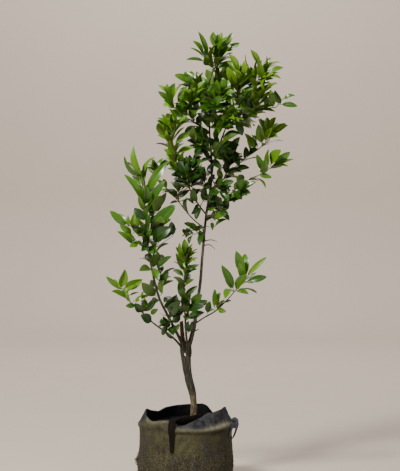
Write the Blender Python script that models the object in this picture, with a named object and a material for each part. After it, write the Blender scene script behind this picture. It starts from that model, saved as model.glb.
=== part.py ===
"""A young citrus tree in a soft black grow bag.

Metres, +Z up, the front is -Y. The origin is the middle of the bag's flat
underside. The trunk stands on the soil in the bag and forks low; each bough is
one tapering limb, and each mass of leaves is one shoot that starts 0.3 mm clear
of its limb and holds its twigs and leaves fused in one solid.
"""

import math
import random

import bmesh
import bpy
from mathutils import Quaternion, Vector
from mathutils.bvhtree import BVHTree

GAP = 0.0003  # clearance between two pieces that meet

# Grow bag: (height, radius) up its outside, as far as the fold that the collar rises from
BAG_PROFILE = [
    (0.000, 0.1440),
    (0.006, 0.1480),
    (0.035, 0.1510),
    (0.080, 0.1515),
    (0.125, 0.1490),
    (0.168, 0.1480),
    (0.184, 0.1490),
    (0.197, 0.1525),
    (0.207, 0.1505),
]
# Collar's edge round the bag: (degrees from +X towards +Y, height, radius)
BAG_RIM = [
    (0, 0.250, 0.129),
    (25, 0.238, 0.131),
    (52, 0.221, 0.136),
    (70, 0.242, 0.131),
    (98, 0.244, 0.130),
    (120, 0.236, 0.132),
    (145, 0.226, 0.135),
    (176, 0.247, 0.127),
    (200, 0.236, 0.134),
    (232, 0.224, 0.142),
    (258, 0.221, 0.144),
    (290, 0.238, 0.141),
    (320, 0.248, 0.136),
]
BAG_WALL = 0.003
BAG_FLOOR = 0.0035
BAG_SEGMENTS = 32
COLLAR_RINGS = 2

SOIL_TOP = 0.200
SOIL_FLAT_RADIUS = 0.050  # level ground round the trunk
SOIL_DIP = 0.005
FILL_HEIGHTS = (0.035, 0.100, 0.184, 0.1975)  # where the bag's inside and the soil's side turn

STRAP_WIDTH = 0.022
STRAP_THICKNESS = 0.0025
STRAP_ROOM = 0.0006  # a flat strap needs this much more than the gap outside a round bag
STRAP_ROOM_INSIDE = 0.0016  # and this much inside it
FRONT_STRAP_ANGLE = 254  # degrees round the bag
FRONT_STRAP_FOOT = 0.136
STRAP_BEND = 0.0022  # how far it stands off where it bends over the collar
FRONT_STRAP_INSIDE = 0.207  # where its inner end hangs behind the collar
HANDLE_SPREAD = 20  # degrees to each side of +X where its ends are sewn on
HANDLE_SEWN_FOOT = 0.168
HANDLE_TOP = 0.2125
HANDLE_STANDOFF = 0.013
HANDLE_ROLL = 12  # degrees that its hanging middle is turned

# Limbs: the parents each one is cut clear of, its route, and its radius at the points of the route
LIMBS = {
    "trunk": dict(
        clear_of=[],
        sides=10,
        route=[
            (0.026, 0, 0.2003), (0.026, 0, 0.223), (0.026, 0, 0.251), (0.025, 0, 0.271),
            (0.021, 0, 0.299), (0.012, 0, 0.335), (0.005, 0, 0.370), (0.001, 0, 0.405),
            (0.000, 0.001, 0.437), (0.002, 0.002, 0.456), (0.003, 0.002, 0.465),
        ],
        radii=[
            0.0150, 0.0112, 0.0098, 0.0092, 0.0104, 0.0114, 0.0124, 0.0142,
            0.0168, 0.0150, 0.0105,
        ],
    ),
    "leader": dict(
        clear_of=["trunk"],
        sides=7,
        route=[
            (0.007, 0, 0.437), (0.015, 0.002, 0.466), (0.023, 0.004, 0.497),
            (0.029, 0.005, 0.526), (0.034, 0.006, 0.571), (0.046, 0.004, 0.648),
            (0.052, 0, 0.725), (0.059, -0.004, 0.807), (0.067, -0.004, 0.880),
            (0.078, 0, 0.944), (0.084, 0.004, 1.013), (0.080, 0.006, 1.077),
            (0.076, 0.004, 1.141), (0.076, 0, 1.211), (0.073, -0.004, 1.269),
            (0.079, -0.004, 1.307), (0.090, 0, 1.333),
        ],
        radii=[
            0.0088, 0.0080, 0.0073, 0.0066, 0.0058, 0.0050, 0.0047, 0.0045, 0.0042,
            0.0040, 0.0037, 0.0033, 0.0030, 0.0027, 0.0024, 0.0022, 0.0019,
        ],
    ),
    "pruned_stub": dict(
        clear_of=["trunk", "leader"],
        sides=7,
        route=[
            (-0.006, 0.008, 0.436), (-0.009, 0.013, 0.464),
            (-0.012, 0.016, 0.496), (-0.015, 0.017, 0.530),
        ],
        radii=[0.0085, 0.0072, 0.0060, 0.0055],
    ),
    "left_bough": dict(
        clear_of=["trunk", "leader", "pruned_stub"],
        sides=6,
        route=[
            (-0.004, -0.004, 0.437), (-0.016, -0.013, 0.467), (-0.031, -0.022, 0.498),
            (-0.063, -0.035, 0.561), (-0.086, -0.045, 0.612), (-0.106, -0.055, 0.695),
            (-0.119, -0.060, 0.774), (-0.125, -0.065, 0.850), (-0.129, -0.065, 0.915),
        ],
        radii=[0.0062, 0.0055, 0.0050, 0.0044, 0.0040, 0.0036, 0.0032, 0.0027, 0.0021],
    ),
    "middle_bough": dict(
        clear_of=["trunk", "leader", "pruned_stub", "left_bough"],
        sides=6,
        route=[
            (0.005, -0.006, 0.450), (0.001, -0.022, 0.493), (-0.002, -0.032, 0.548),
            (-0.004, -0.036, 0.612), (-0.004, -0.036, 0.659),
        ],
        radii=[0.0042, 0.0036, 0.0030, 0.0025, 0.0019],
    ),
    "low_left_bough": dict(
        clear_of=["trunk", "leader", "pruned_stub", "left_bough", "middle_bough"],
        sides=6,
        route=[
            (-0.006, 0.004, 0.440), (-0.022, 0.010, 0.455), (-0.042, 0.018, 0.475),
            (-0.082, 0.030, 0.503), (-0.110, 0.036, 0.524), (-0.140, 0.040, 0.553),
            (-0.169, 0.042, 0.579),
        ],
        radii=[0.0036, 0.0031, 0.0028, 0.0025, 0.0023, 0.0020, 0.0017],
    ),
    "right_bough": dict(
        clear_of=["leader"],
        sides=6,
        route=[
            (0.030, 0.005, 0.521), (0.058, -0.006, 0.540), (0.094, -0.020, 0.562),
            (0.126, -0.035, 0.593), (0.155, -0.045, 0.626),
        ],
        radii=[0.0030, 0.0026, 0.0024, 0.0021, 0.0017],
    ),
    "left_twig": dict(
        clear_of=["leader"],
        sides=5,
        route=[
            (0.062, -0.004, 0.824), (0.029, 0.010, 0.850), (0.002, 0.020, 0.879),
            (-0.026, 0.028, 0.915), (-0.053, 0.030, 0.947), (-0.081, 0.030, 0.969),
        ],
        radii=[0.0026, 0.0023, 0.0021, 0.0019, 0.0017, 0.0015],
    ),
    "low_right_bough": dict(
        clear_of=["leader"],
        sides=5,
        route=[
            (0.064, -0.004, 0.853), (0.088, -0.016, 0.867), (0.121, -0.030, 0.907),
            (0.146, -0.036, 0.938), (0.172, -0.040, 0.960), (0.210, -0.040, 0.985),
        ],
        radii=[0.0026, 0.0023, 0.0021, 0.0019, 0.0018, 0.0016],
    ),
    "upper_left_bough": dict(
        clear_of=["leader"],
        sides=6,
        route=[
            (0.066, -0.004, 0.869), (0.039, -0.016, 0.904), (0.014, -0.030, 0.948),
            (-0.004, -0.035, 0.983), (-0.024, -0.040, 1.020), (-0.032, -0.040, 1.046),
        ],
        radii=[0.0030, 0.0027, 0.0025, 0.0023, 0.0021, 0.0019],
    ),
    "mid_right_bough": dict(
        clear_of=["leader"],
        sides=6,
        route=[
            (0.077, 0, 0.936), (0.096, 0.012, 0.957), (0.122, 0.022, 0.985),
            (0.174, 0.030, 1.037), (0.196, 0.030, 1.056),
        ],
        radii=[0.0028, 0.0025, 0.0023, 0.0020, 0.0018],
    ),
    "second_stem": dict(
        clear_of=["leader"],
        sides=6,
        route=[
            (0.082, 0, 0.981), (0.088, -0.010, 1.028), (0.105, -0.020, 1.085),
            (0.129, -0.028, 1.148), (0.143, -0.030, 1.173), (0.172, -0.030, 1.221),
            (0.204, -0.030, 1.262),
        ],
        radii=[0.0034, 0.0031, 0.0028, 0.0026, 0.0024, 0.0021, 0.0018],
    ),
    "right_arm": dict(
        clear_of=["second_stem"],
        sides=5,
        route=[
            (0.137, -0.029, 1.163), (0.166, -0.030, 1.167), (0.204, -0.030, 1.180),
            (0.235, -0.030, 1.197),
        ],
        radii=[0.0023, 0.0021, 0.0018, 0.0016],
    ),
    "left_fork": dict(
        clear_of=["leader"],
        sides=5,
        route=[
            (0.076, 0.004, 1.129), (0.045, -0.004, 1.153), (0.012, -0.015, 1.173),
            (-0.012, -0.020, 1.181),
        ],
        radii=[0.0026, 0.0022, 0.0019, 0.0017],
    ),
}

# Foliage. The angle between two leaves that follow each other up a shoot, as on the real tree
LEAF_TURN = math.radians(137.5)
LEAF_WIDTH = 0.49  # of its length, at its widest
LEAF_THICKNESS = 0.016  # at its crest
LEAF_ARCH = 0.022  # how far it bows up; more would put its cheeks above its crest
LEAF_SHOULDER = 0.32  # where the two corners of each edge lie along it, and their share of the width
LEAF_SHOULDER_WIDTH = 0.95
LEAF_CHEEK = 0.70
LEAF_CHEEK_WIDTH = 0.76
LEAF_CREST = 0.45
FIRST_ROOT = 0.08  # no leaf starts nearer the ends of its stem than these shares of it
LAST_ROOT = 0.93
LEAST_SLANT = 0.75
ROOT_SPACING = 0.0032
LEAF_TRIES = 14
LEAF_STRAY = 0.003  # metres that its tip may move further off at each try, and less for the outline
OUTLINE_STRAY = 0.0007
LEAF_SLIDE = 0.02  # share of the stem that its root may move further along at each try
OUTLINE_PLACES = 20  # places up a stem where a leaf of the outline may start, and how many are tried
OUTLINE_TRIES = 7
LIGHT = Vector((-0.35, -0.62, 0.70))  # the way that the leaves turn their faces
STEM_RADII = (0.0032, 0.0027)  # at its foot and at its tip
TWIG_RADII = (0.0027, 0.0025)
TWIG_LENGTH = 0.048
TWIG_LEAVES = 4
TWIG_SIDES = 3
TWIG_FIRST = 0.30  # shares of the stem: where its twigs begin, and how far up it they go on
TWIG_SPAN = 0.45
TWIG_BARE = 0.45  # share of a twig, or of a stem, below its first leaf
STEM_BARE = 0.2

# Masses: the limb each one grows on, its stem, the tips of the leaves that make its outline, and how
# many leaves and side twigs fill it
MASSES = {
    "top_rosette": dict(
        on="leader", age="young", leaf=0.072, fill=6, twigs=0, seed=3,
        stem=[(0.09, 0, 1.333), (0.103, -0.004, 1.358), (0.106, -0.006, 1.386)],
        tips=[
            (0.039, -0.02, 1.452), (0.021, 0.015, 1.428), (0.013, -0.03, 1.399),
            (-0.002, -0.01, 1.36), (0.086, -0.03, 1.449), (0.117, 0.01, 1.456),
            (0.151, -0.01, 1.45), (0.171, -0.02, 1.415), (0.136, -0.07, 1.396),
            (0.071, 0.05, 1.431), (0.129, 0.05, 1.437),
        ],
    ),
    "high_right_shoot": dict(
        on="second_stem", age="young", leaf=0.07, fill=9, twigs=1, seed=5,
        stem=[(0.204, -0.03, 1.262), (0.226, -0.03, 1.291), (0.242, -0.03, 1.316)],
        tips=[
            (0.206, -0.02, 1.394), (0.263, -0.02, 1.357), (0.298, -0.03, 1.322),
            (0.245, 0.03, 1.369), (0.191, 0.01, 1.386), (0.305, 0.01, 1.289),
        ],
    ),
    "high_inner_shoot": dict(
        on="second_stem", age="young", leaf=0.068, fill=11, twigs=1, seed=8,
        stem=[(0.166, -0.03, 1.211), (0.165, -0.05, 1.257), (0.168, -0.06, 1.306)],
        tips=[
            (0.156, -0.05, 1.367), (0.189, -0.08, 1.353), (0.204, -0.09, 1.327),
            (0.13, -0.04, 1.353), (0.217, -0.08, 1.309),
        ],
    ),
    "right_shoot": dict(
        on="right_arm", age="young", leaf=0.066, fill=9, twigs=1, seed=13,
        stem=[(0.197, -0.03, 1.178), (0.225, -0.045, 1.216), (0.244, -0.05, 1.253)],
        tips=[
            (0.239, -0.09, 1.261), (0.271, -0.07, 1.238), (0.27, -0.03, 1.284),
            (0.215, -0.07, 1.279), (0.285, -0.05, 1.193),
        ],
    ),
    "far_right_shoot": dict(
        on="right_arm", age="young", leaf=0.064, fill=0, twigs=0, seed=2,
        stem=[(0.235, -0.03, 1.197), (0.261, -0.03, 1.207), (0.289, -0.03, 1.211), (0.297, -0.03, 1.23)],
        tips=[
            (0.349, -0.03, 1.246), (0.357, -0.02, 1.212), (0.262, -0.045, 1.235),
            (0.315, 0.02, 1.271), (0.331, 0.01, 1.196),
        ],
    ),
    "high_left_rosette": dict(
        on="leader", age="young", leaf=0.06, fill=4, twigs=0, seed=4,
        stem=[(0.074, -0.002, 1.243), (0.048, -0.01, 1.265), (0.024, -0.015, 1.286)],
        tips=[
            (-0.038, -0.02, 1.315), (-0.005, -0.03, 1.323), (0.015, 0.01, 1.331),
            (0.035, -0.01, 1.327), (0.064, -0.04, 1.296), (-0.013, 0.03, 1.292),
        ],
    ),
    "left_shoot": dict(
        on="left_fork", age="young", leaf=0.06, fill=7, twigs=1, seed=6,
        stem=[(-0.012, -0.02, 1.182), (-0.036, -0.02, 1.212), (-0.049, -0.02, 1.251)],
        tips=[
            (-0.089, -0.02, 1.261), (-0.074, 0.01, 1.278), (-0.057, -0.03, 1.286),
            (-0.038, 0.01, 1.291), (0.007, -0.04, 1.27), (-0.015, -0.07, 1.248),
            (-0.084, 0.03, 1.237),
        ],
    ),
    "left_inner_shoot": dict(
        on="left_fork", age="mid", leaf=0.064, fill=9, twigs=1, seed=15,
        stem=[(0.026, -0.012, 1.165), (0.02, -0.03, 1.202), (0.02, -0.05, 1.231)],
        tips=[
            (0.033, -0.09, 1.264), (-0.024, -0.09, 1.233), (0.045, -0.1, 1.226),
        ],
    ),
    "mid_left_shoot": dict(
        on="upper_left_bough", age="young", leaf=0.062, fill=11, twigs=1, seed=9,
        stem=[(-0.032, -0.04, 1.046), (-0.042, -0.045, 1.102), (-0.044, -0.045, 1.15)],
        tips=[
            (-0.103, -0.04, 1.175), (-0.08, -0.02, 1.19), (-0.037, -0.05, 1.193),
            (-0.019, -0.01, 1.175), (0.026, -0.07, 1.124), (-0.053, -0.09, 1.094),
            (-0.096, 0, 1.138), (-0.002, -0.08, 1.143), (-0.053, -0.07, 1.052),
            (0.026, -0.07, 1.081), (-0.006, -0.04, 1.103),
        ],
    ),
    "left_stem_leaves": dict(
        on="upper_left_bough", age="old", leaf=0.06, fill=9, twigs=1, seed=18,
        stem=[(0.016, -0.029, 0.943), (0.007, -0.04, 0.979), (0.004, -0.045, 1.014)],
        tips=[
            (0.064, -0.06, 1.016), (0.032, -0.05, 1.048), (-0.024, -0.07, 0.984),
            (0.045, -0.1, 0.989),
        ],
    ),
    "crown_front": dict(
        on="leader", age="mid", leaf=0.066, fill=13, twigs=2, seed=21,
        stem=[(0.077, 0.002, 1.18), (0.089, -0.05, 1.212), (0.11, -0.11, 1.234)],
        tips=[
            (0.113, -0.13, 1.284), (0.064, -0.13, 1.247), (0.156, -0.14, 1.246),
        ],
    ),
    "crown_front_low": dict(
        on="leader", age="mid", leaf=0.066, fill=11, twigs=1, seed=22,
        stem=[(0.076, 0.004, 1.148), (0.102, -0.05, 1.162), (0.132, -0.1, 1.17)],
        tips=[
            (0.061, -0.1, 1.163), (0.169, -0.13, 1.185),
        ],
    ),
    "crown_back": dict(
        on="leader", age="mid", leaf=0.066, fill=12, twigs=4, seed=23,
        stem=[(0.075, 0, 1.186), (0.074, 0.06, 1.234), (0.078, 0.12, 1.284)],
        tips=[
            (0.138, 0.13, 1.344), (0.072, 0.14, 1.326), (-0.021, 0.12, 1.264),
            (0.012, 0.15, 1.294),
        ],
    ),
    "crown_back_right": dict(
        on="second_stem", age="mid", leaf=0.066, fill=12, twigs=2, seed=25,
        stem=[(0.129, -0.028, 1.148), (0.168, 0.05, 1.191), (0.203, 0.11, 1.236)],
        tips=[
            (0.25, 0.13, 1.265), (0.21, 0.13, 1.298),
        ],
    ),
    "top_back": dict(
        on="leader", age="young", leaf=0.066, fill=11, twigs=1, seed=27,
        stem=[(0.074, -0.002, 1.259), (0.097, 0.04, 1.293), (0.126, 0.07, 1.33)],
        tips=[
            (0.163, 0.09, 1.359), (0.117, 0.08, 1.37), (0.145, 0.03, 1.357),
            (0.065, 0.06, 1.341),
        ],
    ),
    "mid_right_shoot": dict(
        on="mid_right_bough", age="young", leaf=0.062, fill=11, twigs=1, seed=11,
        stem=[(0.197, 0.03, 1.057), (0.245, 0.03, 1.097), (0.274, 0.03, 1.124), (0.289, 0.03, 1.15)],
        tips=[
            (0.325, 0.03, 1.165), (0.295, 0.01, 1.185), (0.301, 0, 1.115),
            (0.265, 0.05, 1.178), (0.334, 0.06, 1.143), (0.246, -0.01, 1.146),
            (0.186, 0, 1.151), (0.219, 0.02, 1.152), (0.233, 0.05, 1.116),
        ],
    ),
    "low_right_shoot": dict(
        on="low_right_bough", age="young", leaf=0.062, fill=6, twigs=0, seed=14,
        stem=[(0.21, -0.04, 0.985), (0.235, -0.04, 1.003), (0.26, -0.04, 1.025)],
        tips=[
            (0.344, -0.04, 1.043), (0.332, -0.01, 1.07), (0.301, -0.05, 1.075),
            (0.326, -0.07, 1.018), (0.276, -0.06, 0.983), (0.228, -0.03, 1.06),
            (0.268, -0.07, 1.066),
        ],
    ),
    "low_right_leaves": dict(
        on="low_right_bough", age="old", leaf=0.058, fill=3, twigs=0, seed=16,
        stem=[(0.153, -0.037, 0.944), (0.167, -0.05, 0.936), (0.174, -0.06, 0.944)],
        tips=[
            (0.222, -0.07, 0.971), (0.177, -0.08, 0.915), (0.153, -0.03, 0.907),
        ],
    ),
    "mid_low_shoot": dict(
        on="mid_right_bough", age="old", leaf=0.064, fill=11, twigs=1, seed=17,
        stem=[(0.122, 0.022, 0.985), (0.136, 0.04, 1.022), (0.146, 0.05, 1.058)],
        tips=[
            (0.175, 0.04, 1.122), (0.16, 0, 1.077), (0.192, 0.07, 1.049),
        ],
    ),
    "mid_front_shoot": dict(
        on="second_stem", age="old", leaf=0.066, fill=10, twigs=1, seed=19,
        stem=[(0.09, -0.012, 1.035), (0.099, -0.06, 1.063), (0.111, -0.09, 1.089)],
        tips=[
            (0.17, -0.08, 1.117), (0.064, -0.1, 1.101), (0.154, -0.1, 1.064),
        ],
    ),
    "mid_left_front": dict(
        on="leader", age="old", leaf=0.064, fill=9, twigs=1, seed=20,
        stem=[(0.08, 0.006, 1.071), (0.051, -0.03, 1.084), (0.029, -0.05, 1.102)],
        tips=[
            (-0.006, -0.05, 1.088), (0.007, -0.04, 1.128), (0.054, -0.09, 1.13),
        ],
    ),
    "mid_back_shoot": dict(
        on="leader", age="old", leaf=0.064, fill=11, twigs=2, seed=28,
        stem=[(0.082, 0.005, 1.045), (0.058, 0.06, 1.075), (0.038, 0.1, 1.104)],
        tips=[
            (-0.001, 0.11, 1.128),
        ],
    ),
    "leader_leaves": dict(
        on="leader", age="old", leaf=0.056, fill=7, twigs=0, seed=29,
        stem=[(0.083, 0.002, 0.987), (0.096, -0.03, 0.957), (0.111, -0.05, 0.947)],
        tips=[
            (0.136, -0.06, 0.906), (0.08, -0.07, 0.915), (0.146, -0.05, 0.957),
        ],
    ),
    "leader_back_leaves": dict(
        on="leader", age="old", leaf=0.056, fill=8, twigs=1, seed=30,
        stem=[(0.079, 0, 0.946), (0.061, 0.035, 0.973), (0.045, 0.055, 0.993)],
        tips=[
            (0.019, 0.06, 1.016),
        ],
    ),
    "low_leader_leaves": dict(
        on="leader", age="old", leaf=0.048, fill=5, twigs=0, seed=31,
        stem=[(0.065, -0.004, 0.856), (0.087, 0.014, 0.872), (0.109, 0.024, 0.889)],
        tips=[
            (0.137, 0.03, 0.879), (0.145, 0.02, 0.921), (0.115, 0, 0.847),
            (0.133, 0.05, 0.852), (0.089, -0.03, 0.862),
        ],
    ),
    "narrow_leaves": dict(
        on="leader", age="old", leaf=0.04, fill=0, twigs=0, seed=33,
        stem=[(0.06, -0.004, 0.815), (0.043, -0.02, 0.811), (0.029, -0.03, 0.821)],
        tips=[
            (-0.006, -0.035, 0.842), (0.016, -0.04, 0.844), (0.045, -0.045, 0.77),
            (0.051, -0.04, 0.837),
        ],
    ),
    "left_twig_tip": dict(
        on="left_twig", age="mid", leaf=0.052, fill=2, twigs=0, seed=34,
        stem=[(-0.081, 0.03, 0.969), (-0.095, 0.03, 0.995), (-0.1, 0.03, 1.018)],
        tips=[
            (-0.11, 0.03, 1.048), (-0.036, 0.02, 1.042), (-0.13, 0.05, 1.022),
            (-0.075, 0.06, 1.049),
        ],
    ),
    "left_twig_leaves": dict(
        on="left_twig", age="old", leaf=0.046, fill=5, twigs=0, seed=35,
        stem=[(-0.023, 0.027, 0.911), (-0.023, 0.02, 0.937), (-0.026, 0.015, 0.959)],
        tips=[
            (-0.011, 0.02, 0.982), (-0.048, 0, 0.978), (0.013, 0.03, 0.95),
            (0, -0.01, 0.907), (-0.062, 0.04, 0.951),
        ],
    ),
    "left_bough_top": dict(
        on="left_bough", age="mid", leaf=0.092, fill=7, twigs=0, seed=36,
        stem=[(-0.129, -0.065, 0.915), (-0.135, -0.065, 0.956), (-0.138, -0.065, 0.994)],
        tips=[
            (-0.164, -0.07, 1.086), (-0.193, -0.06, 1.055), (-0.194, -0.08, 0.996),
            (-0.055, -0.08, 1.037), (-0.056, -0.09, 0.977), (-0.062, -0.05, 0.941),
            (-0.107, -0.03, 1.03), (-0.169, -0.01, 0.987),
        ],
    ),
    "left_bough_upper": dict(
        on="left_bough", age="young", leaf=0.07, fill=9, twigs=0, seed=37,
        stem=[(-0.125, -0.065, 0.868), (-0.14, -0.08, 0.885), (-0.15, -0.09, 0.902)],
        tips=[
            (-0.236, -0.08, 0.881), (-0.214, -0.09, 0.816), (-0.161, -0.12, 0.892),
            (-0.201, -0.05, 0.856), (-0.168, -0.13, 0.833),
        ],
    ),
    "left_bough_right": dict(
        on="left_bough", age="old", leaf=0.084, fill=6, twigs=0, seed=38,
        stem=[(-0.124, -0.064, 0.833), (-0.109, -0.07, 0.855), (-0.096, -0.072, 0.874)],
        tips=[
            (-0.029, -0.08, 0.9), (-0.033, -0.04, 0.884), (-0.027, -0.06, 0.824),
            (-0.071, -0.08, 0.786), (-0.064, 0.01, 0.86),
        ],
    ),
    "left_bough_side": dict(
        on="left_bough", age="young", leaf=0.05, fill=9, twigs=0, seed=39,
        stem=[(-0.116, -0.058, 0.751), (-0.137, -0.07, 0.77), (-0.156, -0.075, 0.789)],
        tips=[
            (-0.177, -0.08, 0.767), (-0.172, -0.07, 0.728), (-0.186, -0.05, 0.802),
            (-0.141, -0.11, 0.824),
        ],
    ),
    "left_bough_middle": dict(
        on="left_bough", age="old", leaf=0.064, fill=7, twigs=0, seed=40,
        stem=[(-0.109, -0.056, 0.71), (-0.101, -0.04, 0.739), (-0.095, -0.03, 0.764)],
        tips=[
            (-0.079, -0.05, 0.729), (-0.042, -0.04, 0.736), (-0.145, -0.08, 0.694),
            (-0.125, 0.02, 0.77), (-0.073, 0, 0.783),
        ],
    ),
    "left_bough_low": dict(
        on="left_bough", age="old", leaf=0.062, fill=7, twigs=0, seed=41,
        stem=[(-0.091, -0.046, 0.625), (-0.085, -0.03, 0.656), (-0.079, -0.02, 0.681)],
        tips=[
            (-0.137, -0.06, 0.656), (-0.051, -0.01, 0.687), (-0.06, -0.03, 0.615),
            (-0.093, 0.02, 0.705), (-0.03, -0.01, 0.61), (-0.109, 0.02, 0.599),
        ],
    ),
    "low_left_shoot": dict(
        on="low_left_bough", age="light", leaf=0.06, fill=1, twigs=0, seed=42,
        stem=[(-0.169, 0.042, 0.579), (-0.191, 0.042, 0.601), (-0.206, 0.042, 0.625)],
        tips=[
            (-0.257, 0.04, 0.67), (-0.197, 0.03, 0.693), (-0.14, 0.02, 0.659),
            (-0.241, 0.05, 0.62), (-0.188, 0.09, 0.654),
        ],
    ),
    "low_left_leaves": dict(
        on="low_left_bough", age="light", leaf=0.046, fill=3, twigs=0, seed=43,
        stem=[(-0.138, 0.04, 0.551), (-0.139, 0.035, 0.576), (-0.144, 0.03, 0.595)],
        tips=[
            (-0.118, 0.03, 0.608), (-0.153, 0.03, 0.624), (-0.194, 0.04, 0.574),
            (-0.096, 0, 0.607), (-0.09, 0.06, 0.564), (-0.144, 0.02, 0.535),
        ],
    ),
    "middle_rosette": dict(
        on="middle_bough", age="young", leaf=0.05, fill=9, twigs=0, seed=45,
        stem=[(-0.004, -0.036, 0.659), (-0.003, -0.036, 0.7), (0.001, -0.036, 0.732)],
        tips=[
            (-0.037, -0.04, 0.794), (-0.007, -0.05, 0.814), (0.016, -0.02, 0.789),
            (0.034, -0.04, 0.767), (0.043, -0.05, 0.736), (-0.038, -0.03, 0.742),
            (-0.015, -0.08, 0.771), (-0.026, 0.02, 0.757),
        ],
    ),
    "middle_leaves": dict(
        on="middle_bough", age="old", leaf=0.06, fill=8, twigs=0, seed=46,
        stem=[(-0.003, -0.034, 0.589), (-0.015, -0.02, 0.611), (-0.019, -0.01, 0.639)],
        tips=[
            (-0.044, -0.02, 0.729), (-0.038, -0.03, 0.67), (0.045, 0, 0.706),
            (0.042, 0.02, 0.68), (-0.049, 0.01, 0.596), (0.006, 0.04, 0.676),
        ],
    ),
    "middle_low_leaves": dict(
        on="middle_bough", age="old", leaf=0.062, fill=5, twigs=0, seed=47,
        stem=[(-0.001, -0.031, 0.535), (0.01, -0.055, 0.562), (0.017, -0.065, 0.585)],
        tips=[
            (0.061, -0.08, 0.583), (0.05, -0.07, 0.618), (0.036, -0.06, 0.643),
            (-0.005, -0.1, 0.624), (-0.024, -0.09, 0.586),
        ],
    ),
    "crotch_leaves": dict(
        on="left_bough", age="old", leaf=0.044, fill=3, twigs=0, seed=48,
        stem=[(-0.05, -0.032, 0.535), (-0.056, -0.04, 0.52), (-0.064, -0.045, 0.519)],
        tips=[
            (-0.08, -0.05, 0.507), (-0.059, -0.05, 0.488), (-0.035, -0.07, 0.494),
            (-0.081, -0.05, 0.556),
        ],
    ),
    "right_shoot_tip": dict(
        on="right_bough", age="light", leaf=0.07, fill=1, twigs=0, seed=49,
        stem=[(0.155, -0.045, 0.626), (0.174, -0.05, 0.649), (0.185, -0.052, 0.676)],
        tips=[
            (0.158, -0.05, 0.754), (0.114, -0.05, 0.707), (0.256, -0.05, 0.732),
            (0.255, -0.06, 0.674), (0.132, -0.09, 0.689), (0.195, -0.01, 0.719),
            (0.213, -0.1, 0.702),
        ],
    ),
    "right_shoot_leaves": dict(
        on="right_bough", age="light", leaf=0.044, fill=3, twigs=0, seed=50,
        stem=[(0.112, -0.029, 0.581), (0.105, -0.03, 0.599), (0.104, -0.03, 0.615)],
        tips=[
            (0.116, -0.03, 0.63), (0.094, -0.03, 0.634), (0.073, -0.04, 0.593),
            (0.144, -0.02, 0.6), (0.127, -0.05, 0.562), (0.117, -0.08, 0.617),
        ],
    ),
}

# Base colour and roughness of each material
FINISHES = {
    "felt": ((0.020, 0.021, 0.022), 0.95),
    "webbing": ((0.014, 0.015, 0.018), 0.80),
    "soil": ((0.035, 0.024, 0.016), 1.00),
    "bark": ((0.075, 0.062, 0.046), 0.90),
    "cut_wood": ((0.110, 0.050, 0.035), 0.85),
    "young": ((0.160, 0.330, 0.025), 0.40),
    "mid": ((0.070, 0.190, 0.020), 0.38),
    "old": ((0.025, 0.095, 0.018), 0.35),
    "light": ((0.230, 0.450, 0.050), 0.42),
}


def clear_scene():
    for old in list(bpy.data.objects):
        bpy.data.objects.remove(old, do_unlink=True)


def make_finishes():
    made = {}
    for name, (colour, roughness) in FINISHES.items():
        finish = bpy.data.materials.new(name)
        finish.use_nodes = True
        shader = finish.node_tree.nodes["Principled BSDF"]
        shader.inputs["Base Color"].default_value = (*colour, 1)
        shader.inputs["Roughness"].default_value = roughness
        made[name] = finish
    return made


def new_object(name, points, faces, finish=None, collection=None):
    mesh = bpy.data.meshes.new(name)
    mesh.from_pydata([tuple(point) for point in points], [], faces)
    mesh.validate()
    if finish:
        mesh.materials.append(finish)
    made = bpy.data.objects.new(name, mesh)
    (collection or bpy.context.scene.collection).objects.link(made)
    return made


def shade_round(made, angle=50):
    made.data.shade_smooth()
    made.data.set_sharp_from_angle(angle=math.radians(angle))


def curve_at(values, place):
    """A smooth curve through values (vectors or numbers) at place, from 0 to len(values) - 1."""
    last = len(values) - 1
    low = min(int(place), last - 1)
    part = place - low
    a = values[max(low - 1, 0)]
    b, c = values[low], values[low + 1]
    d = values[min(low + 2, last)]
    return (
        b
        + (c - a) * (0.5 * part)
        + (a * 2 - b * 5 + c * 4 - d) * (0.5 * part**2)
        + (b * 3 - a - c * 3 + d) * (0.5 * part**3)
    )


def across(direction):
    """Any vector at right angles to direction."""
    way = direction.normalized()
    other = Vector((0, 0, 1)) if abs(way.z) < 0.9 else Vector((1, 0, 0))
    return way.cross(other).normalized()


def loft(rings):
    """Points and faces of a closed solid through rings of points, with a flat face at each end."""
    size = len(rings[0])
    points = [point for ring in rings for point in ring]
    faces = [tuple(reversed(range(size)))]
    for level in range(len(rings) - 1):
        for k in range(size):
            a = level * size + k
            b = level * size + (k + 1) % size
            faces.append((a, b, b + size, a + size))
    faces.append(tuple(range(len(points) - size, len(points))))
    return points, faces


def tube_rings(route, radii, sides):
    """Rings of a tapering round limb, each turned as little as it can be from the one before."""
    rings = []
    side = across(route[1] - route[0])
    for k, centre in enumerate(route):
        ahead = route[min(k + 1, len(route) - 1)] - route[max(k - 1, 0)]
        ahead.normalize()
        side = (side - ahead * side.dot(ahead)).normalized()
        up = ahead.cross(side)
        rings.append(
            [
                centre + (side * math.cos(turn) + up * math.sin(turn)) * radii[k]
                for turn in (2 * math.pi * s / sides for s in range(sides))
            ]
        )
    return rings


def tube(route, radii, sides):
    return loft(tube_rings(route, radii, sides))


def radii_between(ends, route):
    """Radii that taper evenly from the first of ends to the last along route."""
    last = len(route) - 1
    return [ends[0] + (ends[1] - ends[0]) * k / last for k in range(last + 1)]


def fatter(route, radii, sides, margin):
    """The same limb with margin to spare all round and at its far end."""
    end = (route[-1] - route[-2]).normalized()
    grown = [(radius + margin) / math.cos(math.pi / sides) for radius in radii]
    return tube([*route[:-1], route[-1] + end * margin], grown, sides)


def applied(made):
    """Replaces an object's mesh with what its modifiers make of it."""
    graph = bpy.context.evaluated_depsgraph_get()
    mesh = bpy.data.meshes.new_from_object(made.evaluated_get(graph))
    mesh.name = made.name
    made.modifiers.clear()
    made.data = mesh
    return made


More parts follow.
